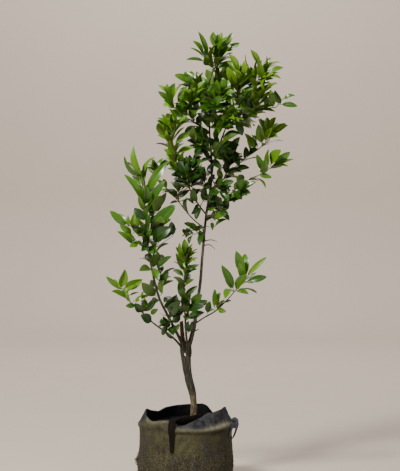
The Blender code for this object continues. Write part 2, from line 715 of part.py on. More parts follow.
def keep_largest(made):
    """Drops the scraps that a cut leaves, and fills hollows that a join has sealed."""
    shape = bmesh.new()
    shape.from_mesh(made.data)
    bmesh.ops.triangulate(shape, faces=shape.faces)
    left = set(shape.faces)
    shells = []
    while left:
        todo = [left.pop()]
        shell = list(todo)
        while todo:
            face = todo.pop()
            for edge in face.edges:
                for other in edge.link_faces:
                    if other in left:
                        left.remove(other)
                        shell.append(other)
                        todo.append(other)
        shells.append(shell)
    shells.sort(key=lambda shell: sum(face.calc_area() for face in shell))
    for shell in shells[:-1]:
        bmesh.ops.delete(shape, geom=shell, context="FACES")
    shape.to_mesh(made.data)
    shape.free()
    return made


def cut_clear(made, cutters):
    """Cuts made back to stand clear of each cutter, given as points and faces."""
    for points, faces in cutters:
        tool = new_object("cutter", points, faces)
        cut = made.modifiers.new("clear", "BOOLEAN")
        cut.operation = "DIFFERENCE"
        cut.object = tool
        applied(made)
        bpy.data.objects.remove(tool, do_unlink=True)
    return keep_largest(made)


def rim_at(angle):
    """Height and radius of the collar's edge at an angle in degrees."""
    angle %= 360
    count = len(BAG_RIM)
    k = max(i for i in range(count) if BAG_RIM[i][0] <= angle)
    start, end = BAG_RIM[k], BAG_RIM[(k + 1) % count]
    before, after = BAG_RIM[k - 1], BAG_RIM[(k + 2) % count]
    part = (angle - start[0]) / ((end[0] - start[0]) % 360)
    return [
        curve_at([before[n], start[n], end[n], after[n]], 1 + part) for n in (1, 2)
    ]


def bag_swell(angle, height):
    """How the filled bag stands out of round: slack lobes low down, and a bulge at the lower left."""
    low = math.sin(math.pi * min(height / 0.19, 1))
    lobes = 0.0012 * math.sin(math.radians(5 * angle + 40))
    bulge = 0.005 * math.exp(-(((angle % 360 - 185) / 26) ** 2))
    bulge *= math.exp(-(((height - 0.075) / 0.035) ** 2))
    return low * lobes + bulge


def bag_radius(angle, height):
    """Radius of the bag's outside, below the fold as profiled and above it leaning in to the rim."""
    fold = BAG_PROFILE[-1][0]
    if height <= fold:
        k = max(i for i in range(len(BAG_PROFILE) - 1) if BAG_PROFILE[i][0] <= height)
        low, high = BAG_PROFILE[k], BAG_PROFILE[k + 1]
        part = (height - low[0]) / (high[0] - low[0])
        return low[1] + (high[1] - low[1]) * part + bag_swell(angle, height)
    rim_height, rim_radius = rim_at(angle)
    part = min((height - fold) / (rim_height - fold), 1)
    return BAG_PROFILE[-1][1] + (rim_radius - BAG_PROFILE[-1][1]) * part


def round_bag(angle, radius, height):
    turn = math.radians(angle)
    return Vector((radius * math.cos(turn), radius * math.sin(turn), height))


def bag_angles():
    return [360 * k / BAG_SEGMENTS for k in range(BAG_SEGMENTS)]


def make_bag(finish):
    """The felt shell: up the outside to the collar's edge, over it and down the inside."""
    fold = BAG_PROFILE[-1][0]
    rings = []
    for height, _ in BAG_PROFILE:
        rings.append([round_bag(a, bag_radius(a, height), height) for a in bag_angles()])
    shares = [(k + 1) / COLLAR_RINGS for k in range(COLLAR_RINGS)]
    for inset in (0, BAG_WALL):
        for share in shares if inset == 0 else reversed(shares):
            ring = []
            for angle in bag_angles():
                height = fold + (rim_at(angle)[0] - fold) * share
                ring.append(round_bag(angle, bag_radius(angle, height) - inset, height))
            rings.append(ring)
    for height in (fold, *reversed(FILL_HEIGHTS), BAG_FLOOR):
        rings.append(
            [round_bag(a, bag_radius(a, height) - BAG_WALL, height) for a in bag_angles()]
        )
    made = new_object("grow_bag", *loft(rings), finish)
    shade_round(made)
    return made


def make_soil(finish):
    """The root ball: it fills the bag up to a level top where the trunk stands."""
    inset = BAG_WALL + GAP
    floor = BAG_FLOOR + GAP
    rings = [[round_bag(a, SOIL_FLAT_RADIUS, floor) for a in bag_angles()]]
    for height in (floor, *FILL_HEIGHTS):
        rings.append(
            [round_bag(a, bag_radius(a, height) - inset - GAP, height) for a in bag_angles()]
        )
    for share in (0.7, 0.4):
        ring = []
        for angle in bag_angles():
            radius = SOIL_FLAT_RADIUS + (bag_radius(angle, SOIL_TOP) - SOIL_FLAT_RADIUS) * share
            wave = 0.5 + 0.5 * math.sin(math.radians(3 * angle) + 5 * share)
            ring.append(round_bag(angle, radius, SOIL_TOP - SOIL_DIP * wave))
        rings.append(ring)
    rings.append([round_bag(a, SOIL_FLAT_RADIUS, SOIL_TOP) for a in bag_angles()])
    made = new_object("soil", *loft(rings), finish)
    shade_round(made)
    return made


def strap_rings(places):
    """Rings of a flat strap through places, each a centre and the direction its face looks."""
    rings = []
    for k, (centre, face) in enumerate(places):
        ahead = places[min(k + 1, len(places) - 1)][0] - places[max(k - 1, 0)][0]
        wide = ahead.cross(face).normalized() * (STRAP_WIDTH / 2)
        deep = wide.cross(ahead).normalized() * (STRAP_THICKNESS / 2)
        inner, outer = centre - deep, centre + deep
        rings.append([inner + wide, inner - wide, outer - wide, outer + wide])
    return rings


def make_front_strap(finish):
    """A loose strap that hangs over the collar's low edge, outside it to its foot."""
    angle = FRONT_STRAP_ANGLE
    out = round_bag(angle, 1, 0)
    clear = GAP + STRAP_THICKNESS / 2 + STRAP_ROOM
    inside = BAG_WALL + clear + STRAP_ROOM_INSIDE
    rim_height, rim_radius = rim_at(angle)
    route = [
        (bag_radius(angle, FRONT_STRAP_INSIDE) - inside, FRONT_STRAP_INSIDE, -1),
        (rim_radius - inside - STRAP_BEND, rim_height, -1),
        (rim_radius - BAG_WALL / 2, rim_height + BAG_WALL + STRAP_BEND, 0),
        (rim_radius + clear + STRAP_BEND, rim_height, 1),
    ]
    for height in (0.210, 0.202, 0.197, 0.190, 0.182, 0.168, 0.152, FRONT_STRAP_FOOT):
        route.append((bag_radius(angle, height) + clear, height, 1))
    places = []
    for radius, height, side in route:
        face = out * side if side else Vector((0, 0, 1))
        places.append((round_bag(angle, radius, height), face))
    made = new_object("front_strap", *loft(strap_rings(places)), finish)
    shade_round(made)
    return made


def make_handle(finish):
    """A webbing handle sewn on at both ends that has flopped outward, clear of the bag between them."""
    clear = GAP + STRAP_THICKNESS / 2 + STRAP_ROOM
    half = [
        (-1.00, HANDLE_SEWN_FOOT, 0.0),
        (-1.00, 0.186, 0.0003),
        (-0.99, 0.199, 0.0012),
        (-0.93, 0.2085, 0.0030),
        (-0.80, HANDLE_TOP, 0.0075),
        (-0.62, 0.2060, 0.0120),
        (-0.38, 0.1900, HANDLE_STANDOFF),
        (-0.15, 0.1815, HANDLE_STANDOFF),
    ]
    whole = half + [(-share, height, off) for share, height, off in reversed(half)]
    places = []
    for share, height, off in whole:
        angle = HANDLE_SPREAD * share
        wall = bag_radius(angle, min(height, BAG_PROFILE[-1][0]))
        roll = math.radians(HANDLE_ROLL) * (1 - share**2)
        face = round_bag(angle, math.cos(roll), 0) - Vector((0, 0, math.sin(roll)))
        places.append((round_bag(angle, wall + clear + off, height), face))
    made = new_object("handle", *loft(strap_rings(places)), finish)
    shade_round(made)
    return made


def limb_line(name):
    spec = LIMBS[name]
    return [Vector(point) for point in spec["route"]], spec["radii"]


def make_limb(name, finish):
    spec = LIMBS[name]
    route, radii = limb_line(name)
    made = new_object(name, *tube(route, radii, spec["sides"]), finish)
    cutters = [fatter(*limb_line(other), LIMBS[other]["sides"], GAP) for other in spec["clear_of"]]
    cut_clear(made, cutters)
    shade_round(made)
    return made


def leaf(root, tip, face, margin=0.0):
    """Points and faces of one arched leaf, its face towards face and its midrib standing up."""
    along = tip - root
    length = along.length
    along.normalize()
    side = along.cross(face).normalized()
    up = side.cross(along)
    half = LEAF_WIDTH * length / 2 + margin

    def at(share, wide, lift):
        arch = 4 * LEAF_ARCH * length * share * (1 - share)
        return root + along * (share * length) + side * (wide * half) + up * (arch + lift)

    points = [
        root,
        at(LEAF_SHOULDER, LEAF_SHOULDER_WIDTH, -margin),
        at(LEAF_CHEEK, LEAF_CHEEK_WIDTH, -margin),
        tip + along * margin,
        at(LEAF_CHEEK, -LEAF_CHEEK_WIDTH, -margin),
        at(LEAF_SHOULDER, -LEAF_SHOULDER_WIDTH, -margin),
        at(LEAF_CREST, 0, LEAF_THICKNESS * length + margin),
    ]
    top = [(k, (k + 1) % 6, 6) for k in range(6)]
    under = [(1, 0, 5), (2, 1, 5), (2, 5, 4), (3, 2, 4)]
    return points, top + under


def blade(root, tip, face, sunk, margin=0.0):
    """The part of a leaf that stands out of the stem, past sunk metres from its root."""
    points, faces = leaf(root, tip, face, margin=margin)
    length = (tip - root).length
    cuts = [
        root.lerp(points[k], sunk / (share * length))
        for k, share in ((1, LEAF_SHOULDER), (6, LEAF_CREST), (5, LEAF_SHOULDER))
    ]
    whole = [face for face in faces if 0 not in face]
    cut = [(7, 1, 6, 8), (5, 9, 8, 6), (1, 7, 9, 5), (7, 8, 9)]
    return points + cuts, whole + cut


def tree_of(points, faces):
    return BVHTree.FromPolygons([tuple(point) for point in points], faces)


class Space:
    """What stands already, so that new twigs and leaves keep clear of it."""

    def __init__(self):
        self.taken = []

    def add(self, owner, points, faces):
        middle = sum(points, Vector()) / len(points)
        reach = max((point - middle).length for point in points)
        self.taken.append((owner, middle, reach, tree_of(points, faces)))

    def is_free(self, owner, points, faces):
        """Whether a solid that grows on owner touches nothing that grows on another."""
        middle = sum(points, Vector()) / len(points)
        reach = max((point - middle).length for point in points)
        tree = None
        for other, centre, radius, standing in self.taken:
            if other != owner and (centre - middle).length < reach + radius:
                tree = tree or tree_of(points, faces)
                if tree.overlap(standing):
                    return False
        return True


def turned(vector, axis, angle):
    return Quaternion(axis, angle) @ vector


def leaf_face(direction, axis, luck):
    """The way a leaf looks: mostly to the light, partly to its own shoot, and never quite the same."""
    stray = Vector((luck.uniform(-1, 1), luck.uniform(-1, 1), luck.uniform(-1, 1)))
    face = LIGHT.normalized() + axis * 0.45 + stray * 0.45
    face -= direction * face.dot(direction)
    return face.normalized()


class Shoot:
    """One mass of foliage: a stem, its twigs and its leaves, gathered to be joined in one solid."""

    def __init__(self, name, spec, space):
        self.name = name
        self.spec = spec
        self.space = space
        self.luck = random.Random(spec["seed"])
        self.line = [Vector(point) for point in spec["stem"]]
        self.solids = []
        self.blades = Space()
        self.doors = []
        self.radii = radii_between(STEM_RADII, self.line)
        self.rings = tube_rings(self.line, self.radii, TWIG_SIDES)
        self.rings_of = {}

    def stem_at(self, share, line=None):
        line = line or self.line
        return curve_at(line, share * (len(line) - 1))

    def heading(self, share, line=None):
        line = line or self.line
        ends = self.stem_at(min(share + 0.05, 1), line) - self.stem_at(max(share - 0.05, 0), line)
        return ends.normalized()

    def root_for(self, share, tip, line):
        """Where a leaf to tip comes out of the middle of one face of the stem, and its root inside."""
        rings = self.rings_of[id(line)] if line else self.rings
        place = share * (len(rings) - 1)
        low = min(int(place), len(rings) - 2)
        ring = [a.lerp(b, place - low) for a, b in zip(rings[low], rings[low + 1])]
        centre = sum(ring, Vector()) / len(ring)
        way = (tip - centre).normalized()
        middles = [(ring[k - 1] + ring[k]) / 2 - centre for k in range(len(ring))]
        out = max(middles, key=lambda middle: middle.dot(way))
        slant = max(out.normalized().dot(way), LEAST_SLANT)
        door = centre + out
        return door, door - (tip - door).normalized() * (out.length / slant)

    def add_leaf(self, share, tip, line=None, stray=LEAF_STRAY):
        """Adds a leaf from the shoot to tip, or leaves it out if nowhere near there is free."""
        for attempt in range(LEAF_TRIES):
            shift = Vector([self.luck.uniform(-1, 1) for _ in range(3)])
            end = tip + shift * (stray * attempt)
            place = share + self.luck.uniform(-1, 1) * LEAF_SLIDE * attempt
            place = min(max(place, FIRST_ROOT), LAST_ROOT)
            door, root = self.root_for(place, end, line)
            if any((door - other).length < ROOT_SPACING for other in self.doors):
                continue
            face = leaf_face((end - root).normalized(), self.heading(place, line), self.luck)
            outside = blade(root, end, face, (door - root).length, GAP)
            if self.blades.is_free("", *outside) and self.space.is_free(self.name, *outside):
                self.blades.add(self.name, *outside)
                self.space.add(self.name, *outside)
                self.solids.append(leaf(root, end, face))
                self.doors.append(door)
                return True
        return False

    def fill(self, count, size, line=None, start=STEM_BARE):
        """Leaves all round the shoot, each turned on from the last, closing up towards its end."""
        turn = self.luck.uniform(0, 2 * math.pi)
        for k in range(count):
            share = start + (1 - start) * (k + 0.5) / count
            axis = self.heading(share, line)
            turn += LEAF_TURN + self.luck.uniform(-0.35, 0.35)
            lean = math.radians(78 - 40 * share + self.luck.uniform(-9, 9))
            out = turned(across(axis), axis, turn)
            direction = axis * math.cos(lean) + out * math.sin(lean) + Vector((0, 0, 0.16))
            length = size * self.luck.uniform(0.78, 1.04)
            self.add_leaf(share, self.stem_at(share, line) + direction.normalized() * length, line)

    def add_outline_leaves(self):
        """Leaves to the named tips, each from the free place on the stem that suits it best."""
        places = [k / OUTLINE_PLACES for k in range(1, OUTLINE_PLACES)]
        for point in self.spec["tips"]:
            tip = Vector(point)
            places.sort(key=lambda share: self.awkwardness(share, tip))
            for share in places[:OUTLINE_TRIES]:
                if self.add_leaf(share, tip, stray=OUTLINE_STRAY):
                    places.remove(share)
                    break

    def awkwardness(self, share, tip):
        reach = tip - self.stem_at(share)
        lean = self.heading(share).angle(reach)
        return abs(reach.length / self.spec["leaf"] - 1) * 2 + abs(lean - math.radians(50 - 20 * share))

    def add_twigs(self):
        """Side twigs at even places up the stem, each with leaves round its end."""
        turn = self.luck.uniform(0, 2 * math.pi)
        count = self.spec["twigs"]
        for k in range(count):
            share = TWIG_FIRST + TWIG_SPAN * (k + 0.5) / count
            foot = self.stem_at(share)
            axis = self.heading(share)
            for _ in range(LEAF_TRIES):
                turn += LEAF_TURN + self.luck.uniform(-0.3, 0.3)
                out = turned(across(axis), axis, turn)
                way = (axis * 0.65 + out * 0.75 + Vector((0, 0, 0.25))).normalized()
                end = foot + way * TWIG_LENGTH * self.luck.uniform(0.8, 1.1)
                route = [foot, foot.lerp(end, 0.5) + out * 0.002, end]
                radii = radii_between(TWIG_RADII, route)
                points, faces = fatter(route, radii, TWIG_SIDES, GAP)
                if self.space.is_free(self.name, points, faces):
                    self.rings_of[id(route)] = tube_rings(route, radii, TWIG_SIDES)
                    self.solids.append(tube(route, radii, TWIG_SIDES))
                    self.space.add(self.name, points, faces)
                    self.fill(TWIG_LEAVES, self.spec["leaf"], route, TWIG_BARE)
                    break

def joined(name, stem, solids, finish):
    """One solid from a stem and everything that grows on it."""
    parts = bpy.data.collections.new("parts of " + name)
    bpy.context.scene.collection.children.link(parts)
    for points, faces in solids:
        new_object("part", points, faces, collection=parts)
    join = stem.modifiers.new("join", "BOOLEAN")
    join.operation = "UNION"
    join.operand_type = "COLLECTION"
    join.collection = parts
    applied(stem)
    for part in list(parts.objects):
        bpy.data.objects.remove(part, do_unlink=True)
    bpy.data.collections.remove(parts)
    keep_largest(stem)
    stem.data.materials.clear()
    stem.data.materials.append(finish)
    return stem


def make_foliage(finishes):
    """All masses. Stems come first, so that every leaf keeps clear of every limb and stem."""
    space = Space()
    cutters = []
    for name, spec in LIMBS.items():
        cutters.append(fatter(*limb_line(name), spec["sides"], GAP))
        space.add(name, *cutters[-1])
    shoots = []
    for name, spec in MASSES.items():
        shoot = Shoot(name, spec, space)
        stem = new_object(name, *tube(shoot.line, shoot.radii, TWIG_SIDES))
        room = fatter(shoot.line, shoot.radii, TWIG_SIDES, GAP)
        cut_clear(stem, [cutter for cutter in cutters if tree_of(*cutter).overlap(tree_of(*room))])
        cutters.append(room)
        space.add(name, *room)
        shoots.append((shoot, stem))
    for shoot, _ in shoots:
        shoot.add_outline_leaves()
    for shoot, stem in shoots:
        shoot.add_twigs()
        shoot.fill(shoot.spec["fill"], shoot.spec["leaf"])
        joined(shoot.name, stem, shoot.solids, finishes[shoot.spec["age"]])
        shade_round(stem, 30)


def main():
    clear_scene()
    finishes = make_finishes()
    make_bag(finishes["felt"])
    make_soil(finishes["soil"])
    make_front_strap(finishes["webbing"])
    make_handle(finishes["webbing"])
    for name in LIMBS:
        make_limb(name, finishes["cut_wood" if name == "pruned_stub" else "bark"])
    make_foliage(finishes)


main()
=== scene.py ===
import math
import random
from itertools import product

import bpy
import numpy as np
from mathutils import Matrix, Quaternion, Vector, noise
from mathutils.kdtree import KDTree


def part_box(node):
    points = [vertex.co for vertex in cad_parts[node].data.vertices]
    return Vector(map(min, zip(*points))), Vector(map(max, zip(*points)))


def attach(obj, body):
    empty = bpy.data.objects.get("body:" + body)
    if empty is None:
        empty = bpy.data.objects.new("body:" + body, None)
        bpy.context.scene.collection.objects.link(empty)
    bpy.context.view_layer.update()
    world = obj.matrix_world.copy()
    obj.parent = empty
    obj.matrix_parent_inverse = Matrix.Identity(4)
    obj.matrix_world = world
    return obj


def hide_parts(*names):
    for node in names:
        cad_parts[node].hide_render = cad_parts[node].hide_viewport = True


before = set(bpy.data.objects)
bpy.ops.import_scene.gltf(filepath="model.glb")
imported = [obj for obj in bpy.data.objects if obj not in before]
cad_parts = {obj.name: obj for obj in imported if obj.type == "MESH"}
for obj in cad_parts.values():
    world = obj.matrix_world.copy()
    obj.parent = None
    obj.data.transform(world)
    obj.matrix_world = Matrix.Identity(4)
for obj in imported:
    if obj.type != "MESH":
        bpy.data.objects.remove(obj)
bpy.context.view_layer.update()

print("frame loaded:", len(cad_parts), "nodes")


# small helpers

def only(*pieces):
    bpy.ops.object.select_all(action="DESELECT")
    for piece in pieces:
        piece.select_set(True)
    bpy.context.view_layer.objects.active = pieces[0]


def applyAll(piece):
    only(piece)
    for modifier in list(piece.modifiers):
        bpy.ops.object.modifier_apply(modifier=modifier.name)


def joinTo(first, *others):
    only(first, *others)
    bpy.ops.object.join()
    return first


def editAll(chosen=True):
    # into edit mode, with all of the mesh chosen or none of it
    bpy.ops.object.mode_set(mode="EDIT")
    bpy.ops.mesh.select_all(action="SELECT" if chosen else "DESELECT")


def endEdit():
    bpy.ops.object.mode_set(mode="OBJECT")


def smoothBy(piece, degrees):
    piece.data.shade_smooth()
    piece.data.set_sharp_from_angle(angle=math.radians(degrees))


def meshFrom(name, points, faces, materials, picks=None):
    mesh = bpy.data.meshes.new(name)
    mesh.from_pydata([tuple(point) for point in points], [], faces)
    for material in materials:
        mesh.materials.append(material)
    if picks is not None:
        mesh.polygons.foreach_set("material_index", picks)
    made = bpy.data.objects.new(name, mesh)
    bpy.context.scene.collection.objects.link(made)
    return made


def curveAt(values, place):
    # a smooth curve through values (vectors or numbers), place from 0 to the last index
    last = len(values) - 1
    low = min(int(place), last - 1)
    part = place - low
    a = values[max(low - 1, 0)]
    b, c = values[low], values[low + 1]
    d = values[min(low + 2, last)]
    return (
        b
        + (c - a) * (0.5 * part)
        + (a * 2 - b * 5 + c * 4 - d) * (0.5 * part**2)
        + (b * 3 - a - c * 3 + d) * (0.5 * part**3)
    )


def smoothLine(places, steps):
    count = (len(places) - 1) * steps
    return [curveAt(places, (len(places) - 1) * k / count) for k in range(count + 1)]


def metres(point):
    return tuple(value / 1000 for value in point)


def across(way):
    other = Vector((0, 0, 1)) if abs(way.normalized().z) < 0.9 else Vector((1, 0, 0))
    return way.cross(other).normalized()


def ramp(value, low, high):
    part = min(max((value - low) / (high - low), 0), 1)
    return part * part * (3 - 2 * part)


def bump(value, middle, width):
    # 1 at the middle, and gone at about twice the width from it
    return math.exp(-(((value - middle) / width) ** 2))


def held(value):
    return min(max(value, 0), 1)


def waver(place, scale, seed=0):
    # smooth noise from -1 to 1 whose lumps are about scale metres across
    return noise.noise(Vector(place) / scale + Vector((seed * 7.3, seed * 3.1, seed * 5.7)))


def storeValues(mesh, **values):
    # a number for each point, which a material can read by its name
    for name, numbers in values.items():
        layer = mesh.attributes.new(name, "FLOAT", "POINT")
        layer.data.foreach_set("value", numbers)


# shader nodes

def addNode(tree, kind, values=None, **settings):
    made = tree.nodes.new("ShaderNode" + kind)
    for name, value in settings.items():
        setattr(made, name, value)
    for socket, value in (values or {}).items():
        if isinstance(value, bpy.types.NodeSocket):
            tree.links.new(value, made.inputs[socket])
        else:
            made.inputs[socket].default_value = value
    return made


def mathNode(tree, operation, first, second=0.5, third=0.0):
    made = addNode(tree, "Math", {0: first, 1: second, 2: third}, operation=operation)
    return made.outputs[0]


def times(tree, first, second):
    return mathNode(tree, "MULTIPLY", first, second)


def timesPlus(tree, first, second, third):
    return mathNode(tree, "MULTIPLY_ADD", first, second, third)


def clamped(tree, value):
    return addNode(tree, "Clamp", {"Value": value}).outputs[0]


def stored(tree, name):
    return addNode(tree, "Attribute", attribute_name=name).outputs["Fac"]


def mixColour(tree, part, first, second, blend="MIX"):
    made = addNode(tree, "Mix", {0: part, 6: first, 7: second}, data_type="RGBA", blend_type=blend)
    return made.outputs[2]


def layers(tree, base, *rows):
    # each row is a share and a colour, laid over what is there already
    for part, tone in rows:
        base = mixColour(tree, part, base, tone)
    return base


def spread(tree, value, low, high, toLow=0.0, toHigh=1.0):
    made = addNode(
        tree,
        "MapRange",
        {"Value": value, "From Min": low, "From Max": high, "To Min": toLow, "To Max": toHigh},
        interpolation_type="SMOOTHSTEP",
    )
    return made.outputs["Result"]


def newGroup(name, inputs, outputs):
    tree = bpy.data.node_groups.new(name, "ShaderNodeTree")
    for label, (kind, value) in inputs.items():
        socket = tree.interface.new_socket(label, in_out="INPUT", socket_type="NodeSocket" + kind)
        socket.default_value = value
    for label, kind in outputs.items():
        tree.interface.new_socket(label, in_out="OUTPUT", socket_type="NodeSocket" + kind)
    start = tree.nodes.new("NodeGroupInput")
    end = tree.nodes.new("NodeGroupOutput")
    return tree, start.outputs, end.inputs


def useGroup(tree, group, values=None):
    made = tree.nodes.new("ShaderNodeGroup")
    made.node_tree = group
    for socket, value in (values or {}).items():
        if isinstance(value, bpy.types.NodeSocket):
            tree.links.new(value, made.inputs[socket])
        else:
            made.inputs[socket].default_value = value
    return made.outputs


def newMaterial(name, values):
    made = bpy.data.materials.new(name)
    made.use_nodes = True
    shader = made.node_tree.nodes["Principled BSDF"]
    for socket, value in values.items():
        shader.inputs[socket].default_value = value
    return made, made.node_tree, shader


def feed(tree, shader, **outputs):
    for socket, output in outputs.items():
        tree.links.new(output, shader.inputs[socket.replace("_", " ")])


def colour(red, green, blue):
    return (red, green, blue, 1)


def stretchedPlace(tree, stretch):
    place = addNode(tree, "TexCoord").outputs["Object"]
    return addNode(tree, "VectorMath", {0: place, 1: stretch}, operation="MULTIPLY").outputs[0]


def noiseAt(tree, place, scale, detail):
    return addNode(tree, "TexNoise", {"Vector": place, "Scale": scale, "Detail": detail}).outputs["Fac"]


def makeGrainGroup():
    # noise in the piece's own coordinates, stretched, from 0 to 1 between two cut levels
    tree, given, wanted = newGroup(
        "grain",
        {
            "Scale": ("Float", 60.0),
            "Stretch": ("Vector", (1, 1, 1)),
            "Detail": ("Float", 4.0),
            "Low": ("Float", 0.35),
            "High": ("Float", 0.65),
        },
        {"Mask": "Float"},
    )
    lumps = noiseAt(tree, stretchedPlace(tree, given["Stretch"]), given["Scale"], given["Detail"])
    tree.links.new(spread(tree, lumps, given["Low"], given["High"]), wanted["Mask"])
    return tree


def makeReliefGroup():
    # fine and coarse noise as one height, turned into a normal
    tree, given, wanted = newGroup(
        "relief",
        {
            "Scale": ("Float", 400.0),
            "Coarse": ("Float", 60.0),
            "Share": ("Float", 0.5),
            "Stretch": ("Vector", (1, 1, 1)),
            "Depth": ("Float", 0.0004),
            "Strength": ("Float", 0.6),
        },
        {"Normal": "Vector", "Height": "Float"},
    )
    place = stretchedPlace(tree, given["Stretch"])
    fine = noiseAt(tree, place, given["Scale"], 3.0)
    coarse = noiseAt(tree, place, given["Coarse"], 5.0)
    both = addNode(tree, "Mix", {0: given["Share"], 2: fine, 3: coarse}, data_type="FLOAT").outputs[0]
    bump = addNode(
        tree, "Bump", {"Height": both, "Distance": given["Depth"], "Strength": given["Strength"]}
    ).outputs[0]
    tree.links.new(bump, wanted["Normal"])
    tree.links.new(both, wanted["Height"])
    return tree


def makeBandGroup():
    # 1 between two heights and 0 past them, with soft, ragged edges
    tree, given, wanted = newGroup(
        "heightBand",
        {
            "From": ("Float", 0.0),
            "To": ("Float", 0.1),
            "Soft": ("Float", 0.01),
            "Ragged": ("Float", 0.01),
            "Scale": ("Float", 30.0),
        },
        {"Mask": "Float"},
    )
    place = addNode(tree, "TexCoord").outputs["Object"]
    height = addNode(tree, "SeparateXYZ", {0: place}).outputs[2]
    lumps = noiseAt(tree, place, given["Scale"], 4.0)
    shift = times(tree, mathNode(tree, "SUBTRACT", lumps, 0.5), given["Ragged"])
    uneven = timesPlus(tree, shift, 2.0, height)
    lowEnd = mathNode(tree, "SUBTRACT", given["From"], given["Soft"])
    highEnd = mathNode(tree, "ADD", given["To"], given["Soft"])
    rise = spread(tree, uneven, lowEnd, given["From"])
    fall = spread(tree, uneven, given["To"], highEnd, 1.0, 0.0)
    tree.links.new(times(tree, rise, fall), wanted["Mask"])
    return tree


def makeWeaveGroup():
    # over and under threads that follow the strap's own length and width
    tree, given, wanted = newGroup(
        "weave",
        {"Along": ("Float", 160.0), "Across": ("Float", 16.0), "Depth": ("Float", 0.0004)},
        {"Normal": "Vector", "Thread": "Float"},
    )
    parts = addNode(tree, "SeparateXYZ", {0: addNode(tree, "TexCoord").outputs["UV"]}).outputs
    acrossWave, alongWave = (
        mathNode(tree, "SINE", times(tree, part, times(tree, given[name], 2 * math.pi)))
        for part, name in zip(parts, ("Across", "Along"))
    )
    cross = timesPlus(tree, times(tree, acrossWave, alongWave), 0.5, 0.5)
    bump = addNode(tree, "Bump", {"Height": cross, "Distance": given["Depth"], "Strength": 0.9})
    tree.links.new(bump.outputs[0], wanted["Normal"])
    tree.links.new(cross, wanted["Thread"])
    return tree


grainGroup = makeGrainGroup()
reliefGroup = makeReliefGroup()
bandGroup = makeBandGroup()
weaveGroup = makeWeaveGroup()


def grain(tree, scale, low, high, detail=4.0, stretch=(1, 1, 1)):
    values = {"Scale": scale, "Low": low, "High": high, "Detail": detail, "Stretch": stretch}
    return useGroup(tree, grainGroup, values)[0]


def relief(tree, scale, coarse, depth, share=0.5, strength=0.6, stretch=(1, 1, 1)):
    values = {
        "Scale": scale, "Coarse": coarse, "Depth": depth,
        "Share": share, "Strength": strength, "Stretch": stretch,
    }
    return useGroup(tree, reliefGroup, values)["Normal"]


# grow bag: a soft black felt bag, stained below its fold, with a crumpled collar above it

bag = {
    "sides": 260,
    "wall": 0.003,
    "baseRings": 7,
    "wallRings": 84,
    "collarRings": 20,
    # height and radius up the outside, as far as the fold
    "profile": [
        (0.000, 0.1440), (0.006, 0.1480), (0.035, 0.1510), (0.080, 0.1515), (0.125, 0.1490),
        (0.168, 0.1480), (0.184, 0.1490), (0.197, 0.1525), (0.207, 0.1505),
    ],
    # the collar's edge: degrees round from the right side, height and radius
    "rim": [
        (8, 0.2440, 0.1300), (30, 0.2290, 0.1320), (50, 0.2215, 0.1360), (59, 0.2440, 0.1320),
        (65, 0.2490, 0.1300), (84, 0.2465, 0.1280), (107, 0.2425, 0.1290), (121, 0.2380, 0.1310),
        (133, 0.2270, 0.1340), (150, 0.2350, 0.1320), (166, 0.2450, 0.1280), (179, 0.2480, 0.1270),
        (197, 0.2360, 0.1320), (212, 0.2280, 0.1370), (225, 0.2240, 0.1410), (237, 0.2290, 0.1425),
        (249, 0.2325, 0.1425), (255, 0.2270, 0.1430), (260, 0.2130, 0.1440), (268, 0.2170, 0.1440),
        (278, 0.2290, 0.1430), (290, 0.2415, 0.1410), (300, 0.2530, 0.1390), (307, 0.2530, 0.1385),
        (322, 0.2575, 0.1370), (338, 0.2625, 0.1340), (344, 0.2590, 0.1325), (354, 0.2480, 0.1310),
    ],
    "crispness": 0.85,  # 1 leaves the edge straight from point to point, 0 rounds it all the way
    "ridge": 0.0026,  # how far the pale ridge along the fold stands out
    "ridgeLeast": 0.35,
    "ridgeSwells": [(0.45, 300, 60), (0.5, 325, 20), (0.3, 200, 30)],  # share, middle and width in degrees
    "tuck": 0.0018,  # the crease just below the ridge
    "roll": 0.0035,  # the rounded roll of the front left side, where the collar turns in
    "rollFoot": 0.0022,
    "bulge": 0.005,
    "waist": 0.0014,
    # unevenness: where, depth, the size of its lumps, the noise's stretch and its seed
    "uneven": [
        ("wall", 0.0016, 0.07, (1, 1, 1.6), 1), ("wall", 0.0009, 0.028, (1, 1, 2.5), 4),
        ("low", 0.0013, 0.012, (1, 1, 1), 5), ("collar", 0.0022, 0.045, (1.5, 1.5, 1), 6),
        ("collar", 0.0012, 0.014, (1, 1, 1), 7),
    ],
    "colours": {
        "felt": colour(0.020, 0.021, 0.026),
        "slate": colour(0.058, 0.061, 0.074),
        "dirt": colour(0.060, 0.050, 0.027),
        "olive": colour(0.070, 0.067, 0.032),
        # dark: dark dirt and spots, and also the tone of the painted shade
        "dark": colour(0.010, 0.008, 0.005),
        "clod": colour(0.124, 0.113, 0.076),
        # pale dust, also laid on as a painted highlight along the fold's ridge
        "dustAndHighlight": colour(0.235, 0.225, 0.165),
        "algae": colour(0.098, 0.100, 0.042),
        # a painted highlight: the lit edge of the front strap, laid on the felt beside it
        "paintedStrapHighlight": colour(0.052, 0.047, 0.054),
        # the felt's inner face, darker than the outer felt: painted shade inside the bag
        "shadedLining": colour(0.006, 0.006, 0.008),
    },
}


def roundPoint(angle, radius, height):
    turn = math.radians(angle)
    return Vector((radius * math.cos(turn), radius * math.sin(turn), height))


def turnOf(place):
    # degrees round from the right side
    return math.degrees(math.atan2(place.y, place.x)) % 360


def rimAt(angle):
    # height and radius of the collar's edge at an angle in degrees
    rim = bag["rim"]
    count = len(rim)
    angle = (angle - rim[0][0]) % 360 + rim[0][0]
    k = max(i for i in range(count) if rim[i][0] <= angle)
    start, end = rim[k], rim[(k + 1) % count]
    before, after = rim[k - 1], rim[(k + 2) % count]
    part = (angle - start[0]) / ((end[0] - start[0]) % 360)
    found = []
    for n in (1, 2):
        straight = start[n] + (end[n] - start[n]) * part
        smooth = curveAt([before[n], start[n], end[n], after[n]], 1 + part)
        found.append(smooth + (straight - smooth) * bag["crispness"])
    return found


